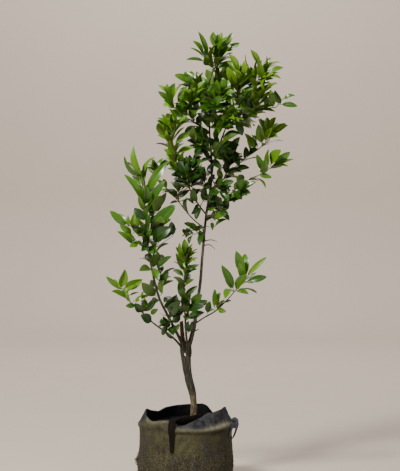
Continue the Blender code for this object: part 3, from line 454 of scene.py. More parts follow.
def near(angle, middle, width):
    # a bump whose middle and width are in degrees round the bag
    return bump((angle - middle + 180) % 360 - 180, 0, width)


def swells(angle, rows):
    return sum(share * near(angle, middle, width) for share, middle, width in rows)


def profileAt(height):
    profile = bag["profile"]
    k = max(i for i in range(len(profile) - 1) if profile[i][0] <= height + 1e-9)
    low, high = profile[k], profile[k + 1]
    return low[1] + (high[1] - low[1]) * (height - low[0]) / (high[0] - low[0])


def foldAt(angle):
    # how high the crease of the fold runs: it wanders a little, and climbs at the back
    spot = roundPoint(angle, 1, 0)
    wander = waver(spot, 0.5, 3) + 0.5 * waver(spot, 0.14, 5)
    return 0.2030 + 0.003 * wander + 0.004 * near(angle, 332, 16)


def bagRadius(angle, height):
    fold = bag["profile"][-1][0]
    place = roundPoint(angle, 0.15, height)
    low = math.sin(math.pi * min(height / 0.19, 1))
    if height <= fold:
        radius = profileAt(height)
    else:
        rimHeight, rimRadius = rimAt(angle)
        part = min((height - fold) / (rimHeight - fold), 1)
        radius = bag["profile"][-1][1] + (rimRadius - bag["profile"][-1][1]) * part
    radius += low * bag["waist"] * math.sin(math.radians(5 * angle + 40))
    radius += bag["bulge"] * near(angle, 185, 26) * bump(height, 0.075, 0.035)
    crease = bump(height, foldAt(angle), 0.0055)
    stands = bag["ridgeLeast"] + swells(angle, bag["ridgeSwells"])
    radius += bag["ridge"] * crease * stands * (1 + 0.6 * waver(place, 0.030, 8))
    tuck = bump(height, foldAt(angle) - 0.013, 0.006)
    radius -= bag["tuck"] * tuck * (1 + 0.8 * waver(place, 0.05, 2))
    leftFront = ramp(angle, 188, 205) * (1 - ramp(angle, 240, 252))
    roll = bump(height, 0.211, 0.0085) * (1 + 0.7 * waver(place, 0.016, 11))
    radius += bag["roll"] * leftFront * roll
    radius -= bag["rollFoot"] * leftFront * bump(height, 0.1975, 0.0035)
    wall = 1 - ramp(height, fold - 0.004, fold + 0.004)
    grow = wall * ramp(height, 0.0, 0.012)
    shares = {"wall": grow, "low": grow * (1 - ramp(height, 0.11, 0.17)), "collar": 1 - wall}
    for part, depth, size, stretch, seed in bag["uneven"]:
        spot = [a * b for a, b in zip(place, stretch)]
        radius += shares[part] * depth * waver(spot, size, seed)
    return radius


def ringStack(name, sides, rings, placeOf, closeEnds=(True, True)):
    # a circle extruded up ring by ring, and each ring then shaped: placeOf(ring, degrees)
    bpy.ops.object.select_all(action="DESELECT")
    bpy.ops.mesh.primitive_circle_add(vertices=sides, radius=1, fill_type="NOTHING")
    made = bpy.context.object
    made.name = made.data.name = name
    editAll()
    for _ in range(rings - 1):
        bpy.ops.mesh.extrude_region_move(TRANSFORM_OT_translate={"value": (0, 0, 1)})
    bpy.ops.mesh.select_all(action="DESELECT")
    endEdit()
    for end, level in zip(closeEnds, (0, rings - 1)):
        if end:
            for vertex in made.data.vertices:
                vertex.select = round(vertex.co.z) == level
            bpy.ops.object.mode_set(mode="EDIT")
            bpy.ops.mesh.select_mode(type="VERT")
            bpy.ops.mesh.edge_face_add()
            bpy.ops.mesh.select_all(action="DESELECT")
            endEdit()
    for vertex in made.data.vertices:
        vertex.co = placeOf(round(vertex.co.z), turnOf(vertex.co))
    editAll()
    bpy.ops.mesh.normals_make_consistent(inside=False)
    endEdit()
    return made


def bagRing(ring, angle):
    fold = bag["profile"][-1][0]
    base, wall = bag["baseRings"], bag["wallRings"]
    if ring < base:
        radius = 0.02 + (bagRadius(angle, 0) - 0.02) * ring / base
        return roundPoint(angle, radius, 0)
    if ring < base + wall:
        height = fold * (ring - base) / wall
        return roundPoint(angle, bagRadius(angle, height), height)
    part = (ring - base - wall) / bag["collarRings"]
    height = fold + (rimAt(angle)[0] - fold) * part
    return roundPoint(angle, bagRadius(angle, height), height)


# where the felt is stained, and where painted highlight and painted shade lie on it
stainsAndShade = {  # share, middle and width in degrees round the bag
    # ridge: dust along the fold's ridge, partly a painted highlight
    "ridge": [(0.4, 318, 26), (0.26, 262, 9), (0.2, 290, 20)],
    "ridgeLeast": 0.14,
    "algae": [(1, 266, 13), (0.45, 283, 8), (0.2, 225, 20), (0.5, 304, 5)],
    # painted shade on the left front of the bag
    "flankShade": [(0.42, 196, 24)],
    # painted shade on the collar's left peak
    "peakShade": [(0.75, 190, 16)],
}


def stainsAndShadeAt(place):
    # how much of each stain, of the painted highlight and of the painted shade lies at a place of the felt
    angle, height = turnOf(place), place.z
    fold, rim = foldAt(angle), rimAt(angle)[0]
    leftFront = ramp(angle, 196, 210) * (1 - ramp(angle, 248, 256))
    top = fold + 0.003 + 0.022 * leftFront
    dirt = 1 - ramp(height, top - 0.003, top + 0.006)
    # pale dust along the fold's ridge, broad at the right and on top of the left roll, partly a painted
    # highlight where the raised fold catches the light
    rag = 0.85 + 0.45 * waver(place, 0.030, 12) + 0.3 * waver(place, 0.008, 14)
    wide = bump(height, fold + 0.004, 0.0080) * near(angle, 322, 17) * (0.7 + 0.3 * rag)
    strength = stainsAndShade["ridgeLeast"] + swells(angle, stainsAndShade["ridge"])
    ridge = bump(height, fold + 0.0010, 0.0060) * strength * (1 - 0.6 * leftFront) * rag
    rollTop = leftFront * bump(height, rim - 0.004, 0.0045) * rag
    dustAndHighlight = held(ridge + 0.95 * wide + 0.42 * rollTop)
    blot = 0.6 + 1.1 * waver((place.x, place.y, place.z * 0.6), 0.016, 13)
    belt = ramp(height, 0.11, 0.15) * (1 - ramp(height, 0.180, 0.200))
    algae = held(swells(angle, stainsAndShade["algae"]) * blot * belt)
    # painted highlight: a narrow lit strip of the front strap's edge, on the felt just beside the strap
    paintedStrapHighlight = 0.9 * near(angle, 249, 2.6) * ramp(height, 0.184, 0.196) * (1 - ramp(height, 0.212, 0.224))
    # painted shadow just below the fold's overhang, at the right front
    under = near(angle, 314, 12) * bump(height, fold - 0.014, 0.007)
    # painted shade on the bag's right flank and on its left front, below the fold
    flankShades = 0.35 * ramp(angle, 316, 332) + swells(angle, stainsAndShade["flankShade"])
    # painted shade in a crease just above the fold, near the front strap
    creaseShade = 0.7 * near(angle, 240, 6) * bump(height, fold + 0.003, 0.006)
    # painted shade on the face of the collar's left peak
    peakShade = swells(angle, stainsAndShade["peakShade"]) * ramp(height, 0.214, 0.222)
    # the painted strap highlight less all the painted shade
    paintedLightAndShade = paintedStrapHighlight - under - creaseShade - peakShade - flankShades * (1 - ramp(height, fold - 0.012, fold))
    return dustAndHighlight, dirt, algae, paintedLightAndShade


def feltMaterial():
    made, tree, shader = newMaterial("stainedAndShadedFelt", {"Sheen Weight": 0.03, "Specular IOR Level": 0.15})
    tones = bag["colours"]
    fibre = grain(tree, 900, 0.3, 0.7, 3)
    clouds = grain(tree, 26, 0.38, 0.66, 6)
    clods = grain(tree, 380, 0.38, 0.54, stretch=(1, 1, 1.3))
    grit = grain(tree, 380, 0.50, 0.64, stretch=(1, 1, 1.3))
    smudge = grain(tree, 95, 0.40, 0.66, 6)
    runs = grain(tree, 52, 0.36, 0.66, 5, stretch=(1, 1, 0.3))
    low = useGroup(
        tree, bandGroup, {"From": -0.1, "To": 0.118, "Soft": 0.06, "Ragged": 0.05, "Scale": 26.0}
    )[0]
    dirt, algae, dustAndHighlight, paintedLightAndShade = (stored(tree, name) for name in ("dirt", "algae", "dustAndHighlight", "paintedLightAndShade"))
    woven = timesPlus(tree, smudge, 0.62, times(tree, fibre, 0.38))
    spots = grain(tree, 40, 0.46, 0.62, 5)
    clean = layers(
        tree, tones["felt"], (woven, tones["slate"]), (times(tree, clouds, 0.10), tones["dustAndHighlight"]),
        (times(tree, spots, 0.6), tones["dark"]),
    )
    much = timesPlus(tree, low, 0.56, 0.34)
    gaps = times(tree, mathNode(tree, "SUBTRACT", 1.0, clods), much)
    earth = layers(
        tree, tones["dirt"], (clouds, tones["olive"]), (times(tree, smudge, 0.4), tones["dark"]),
        (gaps, tones["dark"]), (times(tree, grit, much), tones["clod"]),
    )
    earth = mixColour(tree, 1.0, earth, timesPlus(tree, runs, 0.35, 0.72), "MULTIPLY")
    cover = clamped(tree, times(tree, dirt, timesPlus(tree, clouds, 0.5, 0.72)))
    green = times(tree, algae, timesPlus(tree, smudge, 0.6, 0.4))
    # pale dust along the fold, partly a painted highlight on its ridge
    pale = clamped(tree, times(tree, dustAndHighlight, timesPlus(tree, smudge, 0.45, 0.75)))
    # the painted shade, laid on in the near-black tone
    paintedShade = clamped(tree, times(tree, paintedLightAndShade, -0.75))
    # after the dirt, algae and dust come the painted strap highlight and the painted shade
    base = layers(
        tree, clean, (cover, earth), (green, tones["algae"]), (pale, tones["dustAndHighlight"]),
        (times(tree, clamped(tree, paintedLightAndShade), 0.85), tones["paintedStrapHighlight"]), (paintedShade, tones["dark"]),
    )
    normal = relief(tree, 520, 150, 0.0022, share=0.6, strength=0.9)
    rough = timesPlus(tree, fibre, 0.14, 0.84)
    feed(tree, shader, Base_Color=base, Normal=normal, Roughness=rough)
    return made


def liningMaterial():
    made, tree, shader = newMaterial("feltLining", {"Roughness": 0.95, "Specular IOR Level": 0.2})
    fibre = grain(tree, 500, 0.3, 0.7, 3)
    base = mixColour(tree, fibre, bag["colours"]["shadedLining"], bag["colours"]["felt"])
    normal = relief(tree, 600, 90, 0.0008)
    feed(tree, shader, Base_Color=base, Normal=normal)
    return made


def makeGrowBag():
    rings = bag["baseRings"] + bag["wallRings"] + bag["collarRings"] + 1
    made = ringStack("growBag", bag["sides"], rings, bagRing, closeEnds=(True, False))
    made.data.materials.append(feltMaterial())
    made.data.materials.append(liningMaterial())
    values = zip(*(stainsAndShadeAt(vertex.co) for vertex in made.data.vertices))
    storeValues(made.data, **dict(zip(("dustAndHighlight", "dirt", "algae", "paintedLightAndShade"), values)))
    thick = made.modifiers.new("felt", "SOLIDIFY")
    thick.thickness = bag["wall"]
    thick.offset = -1
    thick.use_even_offset = False
    thick.material_offset = 1
    thick.material_offset_rim = 0
    applyAll(made)
    smoothBy(made, 50)
    return made


growBag = makeGrowBag()
print("grow bag made:", len(growBag.data.polygons), "faces")


# mud and matted fibre that stick to the lower felt, and a torn tuft at its left side

crumbs = {
    "count": 1500,
    "size": (0.0012, 0.0040),
    "foot": 0.006,
    "top": 0.152,
    "flat": 0.5,  # height of a crumb against its width
    "tufts": 46,
    "tuftAt": (187, 0.088),  # degrees round and height
    "tuftSpread": (4.5, 0.009),
    "seed": 12,
}


def lump(centre, out, size, flat, luck):
    # a pebble of 12 points: three uneven rings of four, facing out
    side = across(out)
    up = out.cross(side)
    points, faces = [], []
    for level, (lift, wide) in enumerate(((-0.4, 0.75), (0.25, 1.0), (0.85, 0.5))):
        for k in range(4):
            turn = math.pi / 2 * k + 0.4 * level + luck.uniform(-0.3, 0.3)
            reach = size * wide * luck.uniform(0.7, 1.2)
            spot = centre + out * (size * flat * lift * luck.uniform(0.8, 1.2))
            points.append(spot + side * (reach * math.cos(turn)) + up * (reach * math.sin(turn)))
    faces.append((3, 2, 1, 0))
    for level in (0, 4):
        for k in range(4):
            a, b = level + k, level + (k + 1) % 4
            faces.append((a, b, b + 4, a + 4))
    faces.append((8, 9, 10, 11))
    return points, faces


def gather(shapes):
    # many (points, faces) as one set of points and faces
    points, faces = [], []
    for some, sides in shapes:
        start = len(points)
        points.extend(some)
        faces.extend(tuple(start + k for k in side) for side in sides)
    return points, faces


def makeBagCrumbs():
    luck = random.Random(crumbs["seed"])
    shapes = []
    while len(shapes) < crumbs["count"]:
        angle = luck.uniform(0, 360)
        height = crumbs["foot"] + (crumbs["top"] - crumbs["foot"]) * luck.random() ** 1.25
        thin = ramp(height, crumbs["top"] * 0.55, crumbs["top"])
        spot = roundPoint(angle, 0.15, height)
        if luck.random() < thin or waver(spot, 0.03, 9) < luck.uniform(-0.5, 0.5):
            continue
        low, high = crumbs["size"]
        size = low + (high - low) * luck.random() ** 2.2
        out = roundPoint(angle, 1, 0)
        centre = roundPoint(angle, bagRadius(angle, height) + size * 0.05, height)
        shapes.append(lump(centre, out, size, crumbs["flat"], luck))
    made = meshFrom("bagCrumbs", *gather(shapes), [crumbMaterial("driedMud", (0.070, 0.058, 0.033))])
    smoothBy(made, 60)
    return made


def crumbMaterial(name, tone):
    made, tree, shader = newMaterial(name, {"Roughness": 0.97, "Specular IOR Level": 0.2})
    patches = grain(tree, 120, 0.35, 0.65)
    dark = colour(*(value * 0.35 for value in tone))
    light = colour(*(value * 1.6 for value in tone))
    normal = relief(tree, 900, 250, 0.0006)
    feed(tree, shader, Base_Color=mixColour(tree, patches, dark, light), Normal=normal)
    return made


bagCrumbs = makeBagCrumbs()


def ribbon(line, wides, thick, ways):
    # a closed flat strip along line; ways are the ways that its face looks
    points, faces = [], []
    for k, centre in enumerate(line):
        ahead = (line[min(k + 1, len(line) - 1)] - line[max(k - 1, 0)]).normalized()
        wide = ahead.cross(ways[k]).normalized()
        deep = wide.cross(ahead).normalized() * (thick / 2)
        half = wides[k] / 2
        for share, lift in ((1, 0), (0.86, 1), (0, 1), (-0.86, 1), (-1, 0), (-0.86, -1), (0, -1), (0.86, -1)):
            points.append(centre + wide * (half * share) + deep * lift)
    for k in range(len(line) - 1):
        for n in range(8):
            a, b = 8 * k + n, 8 * k + (n + 1) % 8
            faces.append((a, b, b + 8, a + 8))
    faces.append(tuple(reversed(range(8))))
    faces.append(tuple(range(len(points) - 8, len(points))))
    return points, faces


def makeTuft():
    # torn felt and root fibres that stick out low on the left side
    luck = random.Random(crumbs["seed"] + 1)
    shapes = []
    for _ in range(crumbs["tufts"]):
        angle, height = (
            middle + luck.gauss(0, spread)
            for middle, spread in zip(crumbs["tuftAt"], crumbs["tuftSpread"])
        )
        root = roundPoint(angle, bagRadius(angle, height) - 0.001, height)
        out = roundPoint(angle, 1, 0)
        way = out * 0.7 + Vector((luck.uniform(-0.4, 0.2), luck.uniform(-0.8, 0.8), luck.uniform(-0.5, 1.0)))
        length = luck.uniform(0.005, 0.013)
        bend = Vector((0, luck.uniform(-1, 1), luck.uniform(-1, 0.6))) * length * 0.4
        line = [root, root + way.normalized() * length * 0.5, root + way.normalized() * length + bend]
        wide = luck.uniform(0.0006, 0.0042)
        face = out.cross(Vector((0, 0.3, 1)))
        shapes.append(ribbon(line, [wide, wide * 0.8, wide * 0.25], 0.0007, [face] * 3))
    made = meshFrom("tornFelt", *gather(shapes), [crumbMaterial("frayedFelt", (0.085, 0.078, 0.055))])
    smoothBy(made, 60)
    return made


tornFelt = makeTuft()


# webbing: the strap that hangs over the front, and the handle that has flopped outward

straps = {
    "width": 0.0235,
    "thickness": 0.0024,
    "angle": 254,
    "gap": 0.0012,  # between the webbing and the felt
    "heights": (0.222, 0.214, 0.205, 0.196, 0.180, 0.160, 0.145, 0.133),
    # its upper end inside the collar: degrees round, height and radius
    "inner": [
        (301, 0.2330, 0.1285), (290, 0.2365, 0.1285), (278, 0.2325, 0.1295), (268, 0.2290, 0.1320),
        (261, 0.2290, 0.1370),
    ],
    "innerWidth": 0.030,
    "threadPitch": 0.0021,
    "material": "brownWebbing",
    "colour": colour(0.0050, 0.0036, 0.0022),
    "worn": colour(0.0135, 0.0095, 0.0060),
}
handle = {
    "spread": 20,
    "roll": 20,
    "width": 0.022,
    "thickness": 0.0024,
    "material": "slateWebbing",
    "colour": colour(0.050, 0.054, 0.068),
    "worn": colour(0.115, 0.122, 0.150),
    "stitch": 0.0030,
    "sewnAt": 0.178,
    # from one sewn end to its middle: share of the spread, height and distance from the felt
    "path": [
        (-1.00, 0.168, 0.0), (-1.00, 0.184, 0.0003), (-0.99, 0.194, 0.0012), (-0.93, 0.2005, 0.0030),
        (-0.83, 0.2035, 0.0080), (-0.68, 0.2000, 0.0140), (-0.50, 0.1890, 0.0142), (-0.32, 0.1760, 0.0098),
        (-0.15, 0.1660, 0.0045), (0.00, 0.1625, 0.0020),
    ],
}


def webbingMaterial(name, tone, worn, length):
    made, tree, shader = newMaterial(name, {"Roughness": 0.9, "Specular IOR Level": 0.12})
    weave = useGroup(
        tree, weaveGroup, {"Along": length / straps["threadPitch"] / 2, "Across": 6.0, "Depth": 0.00035}
    )
    patches = grain(tree, 55, 0.4, 0.7, 5)
    raised = times(tree, weave["Thread"], 0.45)
    base = mixColour(tree, timesPlus(tree, patches, 0.55, raised), tone, worn)
    feed(tree, shader, Base_Color=base, Normal=weave["Normal"])
    return made


def strapPiece(name, spec, places, ways, wideAt, steps=5):
    # a strap through places with its face turned to ways; wideAt(share of its length) is its width.
    # Its UV map runs across from 0 to 1, and along its length from 0 to 1
    line = smoothLine(places, steps)
    last = len(line) - 1
    faces = [way.normalized() for way in smoothLine(ways, steps)]
    wides = [wideAt(k / last) for k in range(last + 1)]
    length = sum((a - b).length for a, b in zip(line, line[1:]))
    material = webbingMaterial(spec["material"], spec["colour"], spec["worn"], length)
    made = meshFrom(name, *ribbon(line, wides, spec["thickness"], faces), [material])
    layer = made.data.uv_layers.new(name="strip")
    columns = (1.0, 0.93, 0.5, 0.07, 0.0, 0.07, 0.5, 0.93)
    for polygon in made.data.polygons:
        for loop in polygon.loop_indices:
            vertex = made.data.loops[loop].vertex_index
            layer.data[loop].uv = (columns[vertex % 8], (vertex // 8) / last)
    smoothBy(made, 40)
    return made


def makeFrontStrap():
    angle = straps["angle"]
    out = roundPoint(angle, 1, 0)
    clear = straps["thickness"] / 2 + straps["gap"]
    places, ways = [], []
    for k, (turn, height, radius) in enumerate(straps["inner"]):
        places.append(roundPoint(turn, radius, height))
        ways.append(roundPoint(turn, -1, 0) + Vector((0, 0, 0.15 + 0.16 * k)))
    rimHeight, rimRadius = rimAt(angle)
    places.append(roundPoint(angle + 1.5, rimRadius + 0.0005, rimHeight + 0.0050))
    ways.append(Vector((0, -0.45, 1)))
    for height in straps["heights"]:
        surface = max(bagRadius(angle + off, height) for off in (-4, -2, 0, 2, 4))
        places.append(roundPoint(angle, surface + clear, height))
        ways.append(out)

    def wideAt(share):
        wide = straps["innerWidth"] + (straps["width"] - straps["innerWidth"]) * ramp(share, 0.22, 0.42)
        return wide * (1 - 0.45 * ramp(share, 0.5, 1.0))

    return strapPiece("frontStrap", straps, places, ways, wideAt)


frontStrap = makeFrontStrap()


def makeHandle():
    clear = handle["thickness"] / 2 + straps["gap"]
    half = handle["path"]
    whole = half + [(-share, height, off) for share, height, off in reversed(half[:-1])]
    places, ways = [], []
    for share, height, off in whole:
        angle = handle["spread"] * share
        wall = bagRadius(angle, min(height, 0.200)) + 0.0008
        roll = math.radians(handle["roll"]) * (1 - share**2)
        places.append(roundPoint(angle, wall + clear + off, height))
        ways.append(roundPoint(angle, math.cos(roll), 0) - Vector((0, 0, math.sin(roll))))
    return strapPiece("handleLoop", handle, places, ways, lambda share: handle["width"])


handleLoop = makeHandle()


def makeStitches():
    # rows of thread across and up the sewn end of each side of the handle
    thread, tree, shader = newMaterial("thread", {"Base Color": colour(0.03, 0.032, 0.036), "Roughness": 0.7})
    normal = relief(tree, 2500, 900, 0.0001)
    feed(tree, shader, Normal=normal)
    shapes = []
    pitch = handle["stitch"]
    for side in (1, -1):
        angle = handle["spread"] * side
        out = roundPoint(angle, 1, 0)
        wide = Vector((0, 0, 1)).cross(out)
        rows = [(-0.0085, 0.0, 1), (0.0085, 0.0, 1), (0.0, -0.0085, 0), (0.0, 0.0065, 0)]
        for shift, lift, upright in rows:
            for k in range(-3, 4):
                along = k * pitch * 0.9
                height = handle["sewnAt"] + (along if upright else lift)
                aside = shift if upright else along
                radius = bagRadius(angle, height) + 0.0008 + handle["thickness"] * 1.0 + 0.0013
                centre = roundPoint(angle, radius, height) + wide * aside
                reach = (Vector((0, 0, 1)) if upright else wide) * (pitch * 0.32)
                line = [centre - reach, centre + out * 0.0002, centre + reach]
                shapes.append(ribbon(line, [0.0004, 0.0007, 0.0004], 0.0006, [out] * 3))
    made = meshFrom("handleStitches", *gather(shapes), [thread])
    smoothBy(made, 60)
    return made


handleStitches = makeStitches()
print("webbing made")


# soil: the root ball's top, level round the trunk and crumbly

soil = {
    "top": 0.200,
    "flatRadius": 0.050,
    "dip": 0.005,
    "sides": 150,
    "sideRings": 5,
    "topRings": 44,
    "foot": 0.004,
    "sideTop": 0.192,
    "inset": 0.0022,
    "hole": 0.004,  # radius of the innermost ring
    "crumbs": 520,
    "crumbSize": (0.0012, 0.0050),
    "crumbsWithin": 0.142,
    "seed": 77,
    "tone": (0.009, 0.007, 0.005),
}


def soilHeight(x, y):
    radius = math.hypot(x, y)
    angle = math.degrees(math.atan2(y, x))
    part = ramp(radius, soil["flatRadius"] * 0.7, 0.11)
    wave = 0.5 + 0.5 * math.sin(math.radians(3 * angle) + 20 * radius)
    height = soil["top"] - soil["dip"] * wave * part
    height += 0.0022 * waver((x, y, 0), 0.022, 1) + 0.0014 * waver((x, y, 0), 0.008, 2)
    return height + 0.0007 * waver((x, y, 0), 0.0035, 3)


def soilRing(ring, angle):
    sideRings = soil["sideRings"]
    if ring < sideRings:
        height = soil["foot"] + (soil["sideTop"] - soil["foot"]) * ring / (sideRings - 1)
        return roundPoint(angle, bagRadius(angle, height) - bag["wall"] - 0.001, height)
    part = (ring - sideRings) / soil["topRings"]
    edge = bagRadius(angle, 0.196) - soil["inset"]
    spot = roundPoint(angle, soil["hole"] + (edge - soil["hole"]) * (1 - part), 0)
    spot.z = soilHeight(spot.x, spot.y)
    return spot


def makeSoil():
    rings = soil["sideRings"] + soil["topRings"] + 1
    made = ringStack("rootBallSoil", soil["sides"], rings, soilRing)
    made.data.materials.append(crumbMaterial("pottingSoil", soil["tone"]))
    smoothBy(made, 60)
    return made


def makeSoilCrumbs():
    luck = random.Random(soil["seed"])
    shapes = []
    while len(shapes) < soil["crumbs"]:
        radius = soil["crumbsWithin"] * math.sqrt(luck.random())
        turn = luck.uniform(0, 2 * math.pi)
        x, y = radius * math.cos(turn), radius * math.sin(turn)
        size = soil["crumbSize"][0] + soil["crumbSize"][1] * luck.random() ** 2.5
        centre = Vector((x, y, soilHeight(x, y) + size * 0.15))
        tilt = Vector((luck.uniform(-0.3, 0.3), luck.uniform(-0.3, 0.3), 1)).normalized()
        shapes.append(lump(centre, tilt, size, 0.6, luck))
    made = meshFrom("soilCrumbs", *gather(shapes), [crumbMaterial("soilLumps", (0.013, 0.010, 0.007))])
    smoothBy(made, 50)
    return made


rootBallSoil = makeSoil()
soilCrumbs = makeSoilCrumbs()
print("soil made")


# trunk and boughs: each limb is a route with its radii, all melted into one skin of bark


def limb(route, radii):
    # both in millimetres
    return {"route": [metres(point) for point in route], "radii": metres(radii)}


limbs = {
    "trunk": limb([
        (26, 0, 200.3), (26, 0, 223), (26, 0, 251), (25, 0, 271), (21, 0, 299), (12, 0, 335), (5, 0, 370),
        (1, 0, 405), (0, 1, 437), (2, 2, 456), (3, 2, 465),
    ], [15, 12.7, 11.1, 10.4, 11.8, 12.9, 14, 16, 19, 16.9, 11.9]),
    "leader": limb([
        (7, 0, 437), (15, 2, 466), (23, 4, 497), (29, 5, 526), (34, 6, 571), (46, 4, 648), (52, 0, 725),
        (59, -4, 807), (67, -4, 880), (78, 0, 944), (84, 4, 1013), (80, 6, 1077), (76, 4, 1141),
        (76, 0, 1211), (73, -4, 1269), (79, -4, 1307), (90, 0, 1333),
    ], [8.8, 8, 7.3, 6.6, 5.8, 5, 4.7, 4.5, 4.2, 4, 3.7, 3.3, 3, 2.7, 2.4, 2.2, 1.9]),
    "pruned_stub": limb([
        (-6, 8, 436), (-9, 13, 464), (-12, 16, 496), (-15, 17, 530),
    ], [9.5, 8.1, 6.7, 6.2]),
    "left_bough": limb([
        (-4, -4, 437), (-16, -13, 467), (-31, -22, 498), (-63, -35, 561), (-86, -45, 612), (-106, -55, 695),
        (-119, -60, 774), (-125, -65, 850), (-129, -65, 915),
    ], [6.2, 5.5, 5, 4.4, 4, 3.6, 3.2, 2.7, 2.1]),
    "middle_bough": limb([
        (5, -6, 450), (1, -22, 493), (-2, -32, 548), (-4, -36, 612), (-4, -36, 659),
    ], [4.2, 3.6, 3, 2.5, 1.9]),
    "low_left_bough": limb([
        (-6, 4, 440), (-22, 10, 455), (-42, 18, 475), (-82, 30, 503), (-110, 36, 524), (-140, 40, 553),
        (-169, 42, 579),
    ], [4.5, 3.9, 3.5, 3.1, 2.9, 2.5, 2.1]),
    "right_bough": limb([
        (30, 5, 521), (58, -6, 540), (94, -20, 562), (126, -35, 593), (155, -45, 626),
    ], [3, 2.6, 2.4, 2.1, 1.7]),
    "left_twig": limb([
        (62, -4, 824), (29, 10, 850), (2, 20, 879), (-26, 28, 915), (-53, 30, 947), (-81, 30, 969),
    ], [2.6, 2.3, 2.1, 1.9, 1.7, 1.5]),
    "low_right_bough": limb([
        (64, -4, 853), (88, -16, 867), (121, -30, 907), (146, -36, 938), (172, -40, 960), (210, -40, 985),
    ], [2.6, 2.3, 2.1, 1.9, 1.8, 1.6]),
    "upper_left_bough": limb([
        (66, -4, 869), (39, -16, 904), (14, -30, 948), (-4, -35, 983), (-24, -40, 1020), (-32, -40, 1046),
    ], [3, 2.7, 2.5, 2.3, 2.1, 1.9]),
    "mid_right_bough": limb([
        (77, 0, 936), (96, 12, 957), (122, 22, 985), (174, 30, 1037), (196, 30, 1056),
    ], [2.8, 2.5, 2.3, 2, 1.8]),
    "second_stem": limb([
        (82, 0, 981), (88, -10, 1028), (105, -20, 1085), (129, -28, 1148), (143, -30, 1173),
        (172, -30, 1221), (204, -30, 1262),
    ], [3.4, 3.1, 2.8, 2.6, 2.4, 2.1, 1.8]),
    "right_arm": limb([
        (137, -29, 1163), (166, -30, 1167), (204, -30, 1180), (235, -30, 1197),
    ], [2.3, 2.1, 1.8, 1.6]),
    "left_fork": limb([
        (76, 4, 1129), (45, -4, 1153), (12, -15, 1173), (-12, -20, 1181),
    ], [2.6, 2.2, 1.9, 1.7]),
}
bareTwigs = [  # leafless twigs and spurs
    limb([(57, -4, 784), (80, -8, 789), (100, -12, 783)], [2.1, 1.8, 1.2]),
    limb([(56, -4, 770), (77, 4, 773), (94, 8, 758)], [2.1, 1.8, 1.2]),
    limb([(16, 3, 490), (30, -1, 498), (42, -3, 503)], [2.6, 2.1, 1.4]),
    limb([(-56, -33, 548), (-70, -38, 551), (-82, -41, 557)], [1.6, 1.3, 0.9]),
]
bark = {
    "voxel": 0.0012,
    "furrow": 0.060,  # depth of the furrows, as a share of the limb's radius
    "rough": 0.00022,
    "rootDepth": 0.012,  # how far the trunk goes on down into the soil
    "flare": 0.0022,
    "slit": {"centre": (-0.0028, 0, 0.4220), "size": (0.0019, 0.03, 0.0088), "lean": 0.32},
    "knobs": [((0.0140, -0.003, 0.4420), 0.0048), ((0.0146, -0.003, 0.4345), 0.0052),
              ((0.0146, -0.003, 0.4265), 0.0052), ((0.0136, -0.003, 0.4185), 0.0050),
              ((0.0120, -0.003, 0.4110), 0.0046), ((-0.0165, 0.0, 0.4500), 0.0050),
              ((0.0590, -0.004, 0.8200), 0.0050), ((0.0330, 0.005, 0.5660), 0.0062),
              ((0.0480, 0.003, 0.6700), 0.0054)],
    "colours": {
        "young": colour(0.030, 0.038, 0.014),
        "grey": colour(0.038, 0.033, 0.025),
        "furrow": colour(0.016, 0.013, 0.010),
        "streak": colour(0.150, 0.142, 0.112),
        "ashen": colour(0.150, 0.138, 0.108),
        "tan": colour(0.215, 0.165, 0.090),
        "brown": colour(0.090, 0.055, 0.028),
    },
}


def limbLine(spec, steps=6):
    route = [Vector(point) for point in spec["route"]]
    return smoothLine(route, steps), smoothLine(spec["radii"], steps)


def limbTube(name, line, radii):
    curve = bpy.data.curves.new(name, "CURVE")
    curve.dimensions = "3D"
    curve.bevel_depth = 1
    curve.bevel_resolution = 4
    curve.use_fill_caps = True
    spline = curve.splines.new("POLY")
    spline.points.add(len(line) - 1)
    for point, place, radius in zip(spline.points, line, radii):
        point.co = (*place, 1)
        point.radius = radius
    made = bpy.data.objects.new(name, curve)
    bpy.context.scene.collection.objects.link(made)
    only(made)
    bpy.ops.object.convert(target="MESH")
    return bpy.context.object


def centreSamples():
    # every limb's centre line with its radius, for asking how thick the wood is at a place
    found = []
    for spec in limbs.values():
        line, radii = limbLine(spec, 12)
        found.extend(zip(line, radii))
    tree = KDTree(len(found))
    for k, (place, _) in enumerate(found):
        tree.insert(place, k)
    tree.balance()
    return tree, [radius for _, radius in found]


limbTree, limbRadii = centreSamples()


def nearestLimb(place):
    centre, k, distance = limbTree.find(place)
    return centre, limbRadii[k], distance


def meltTogether(made, voxel, rounds):
    remesh = made.modifiers.new("melt", "REMESH")
    remesh.mode = "VOXEL"
    remesh.voxel_size = voxel
    soften = made.modifiers.new("soften", "SMOOTH")
    soften.factor = 0.5
    soften.iterations = rounds
    applyAll(made)


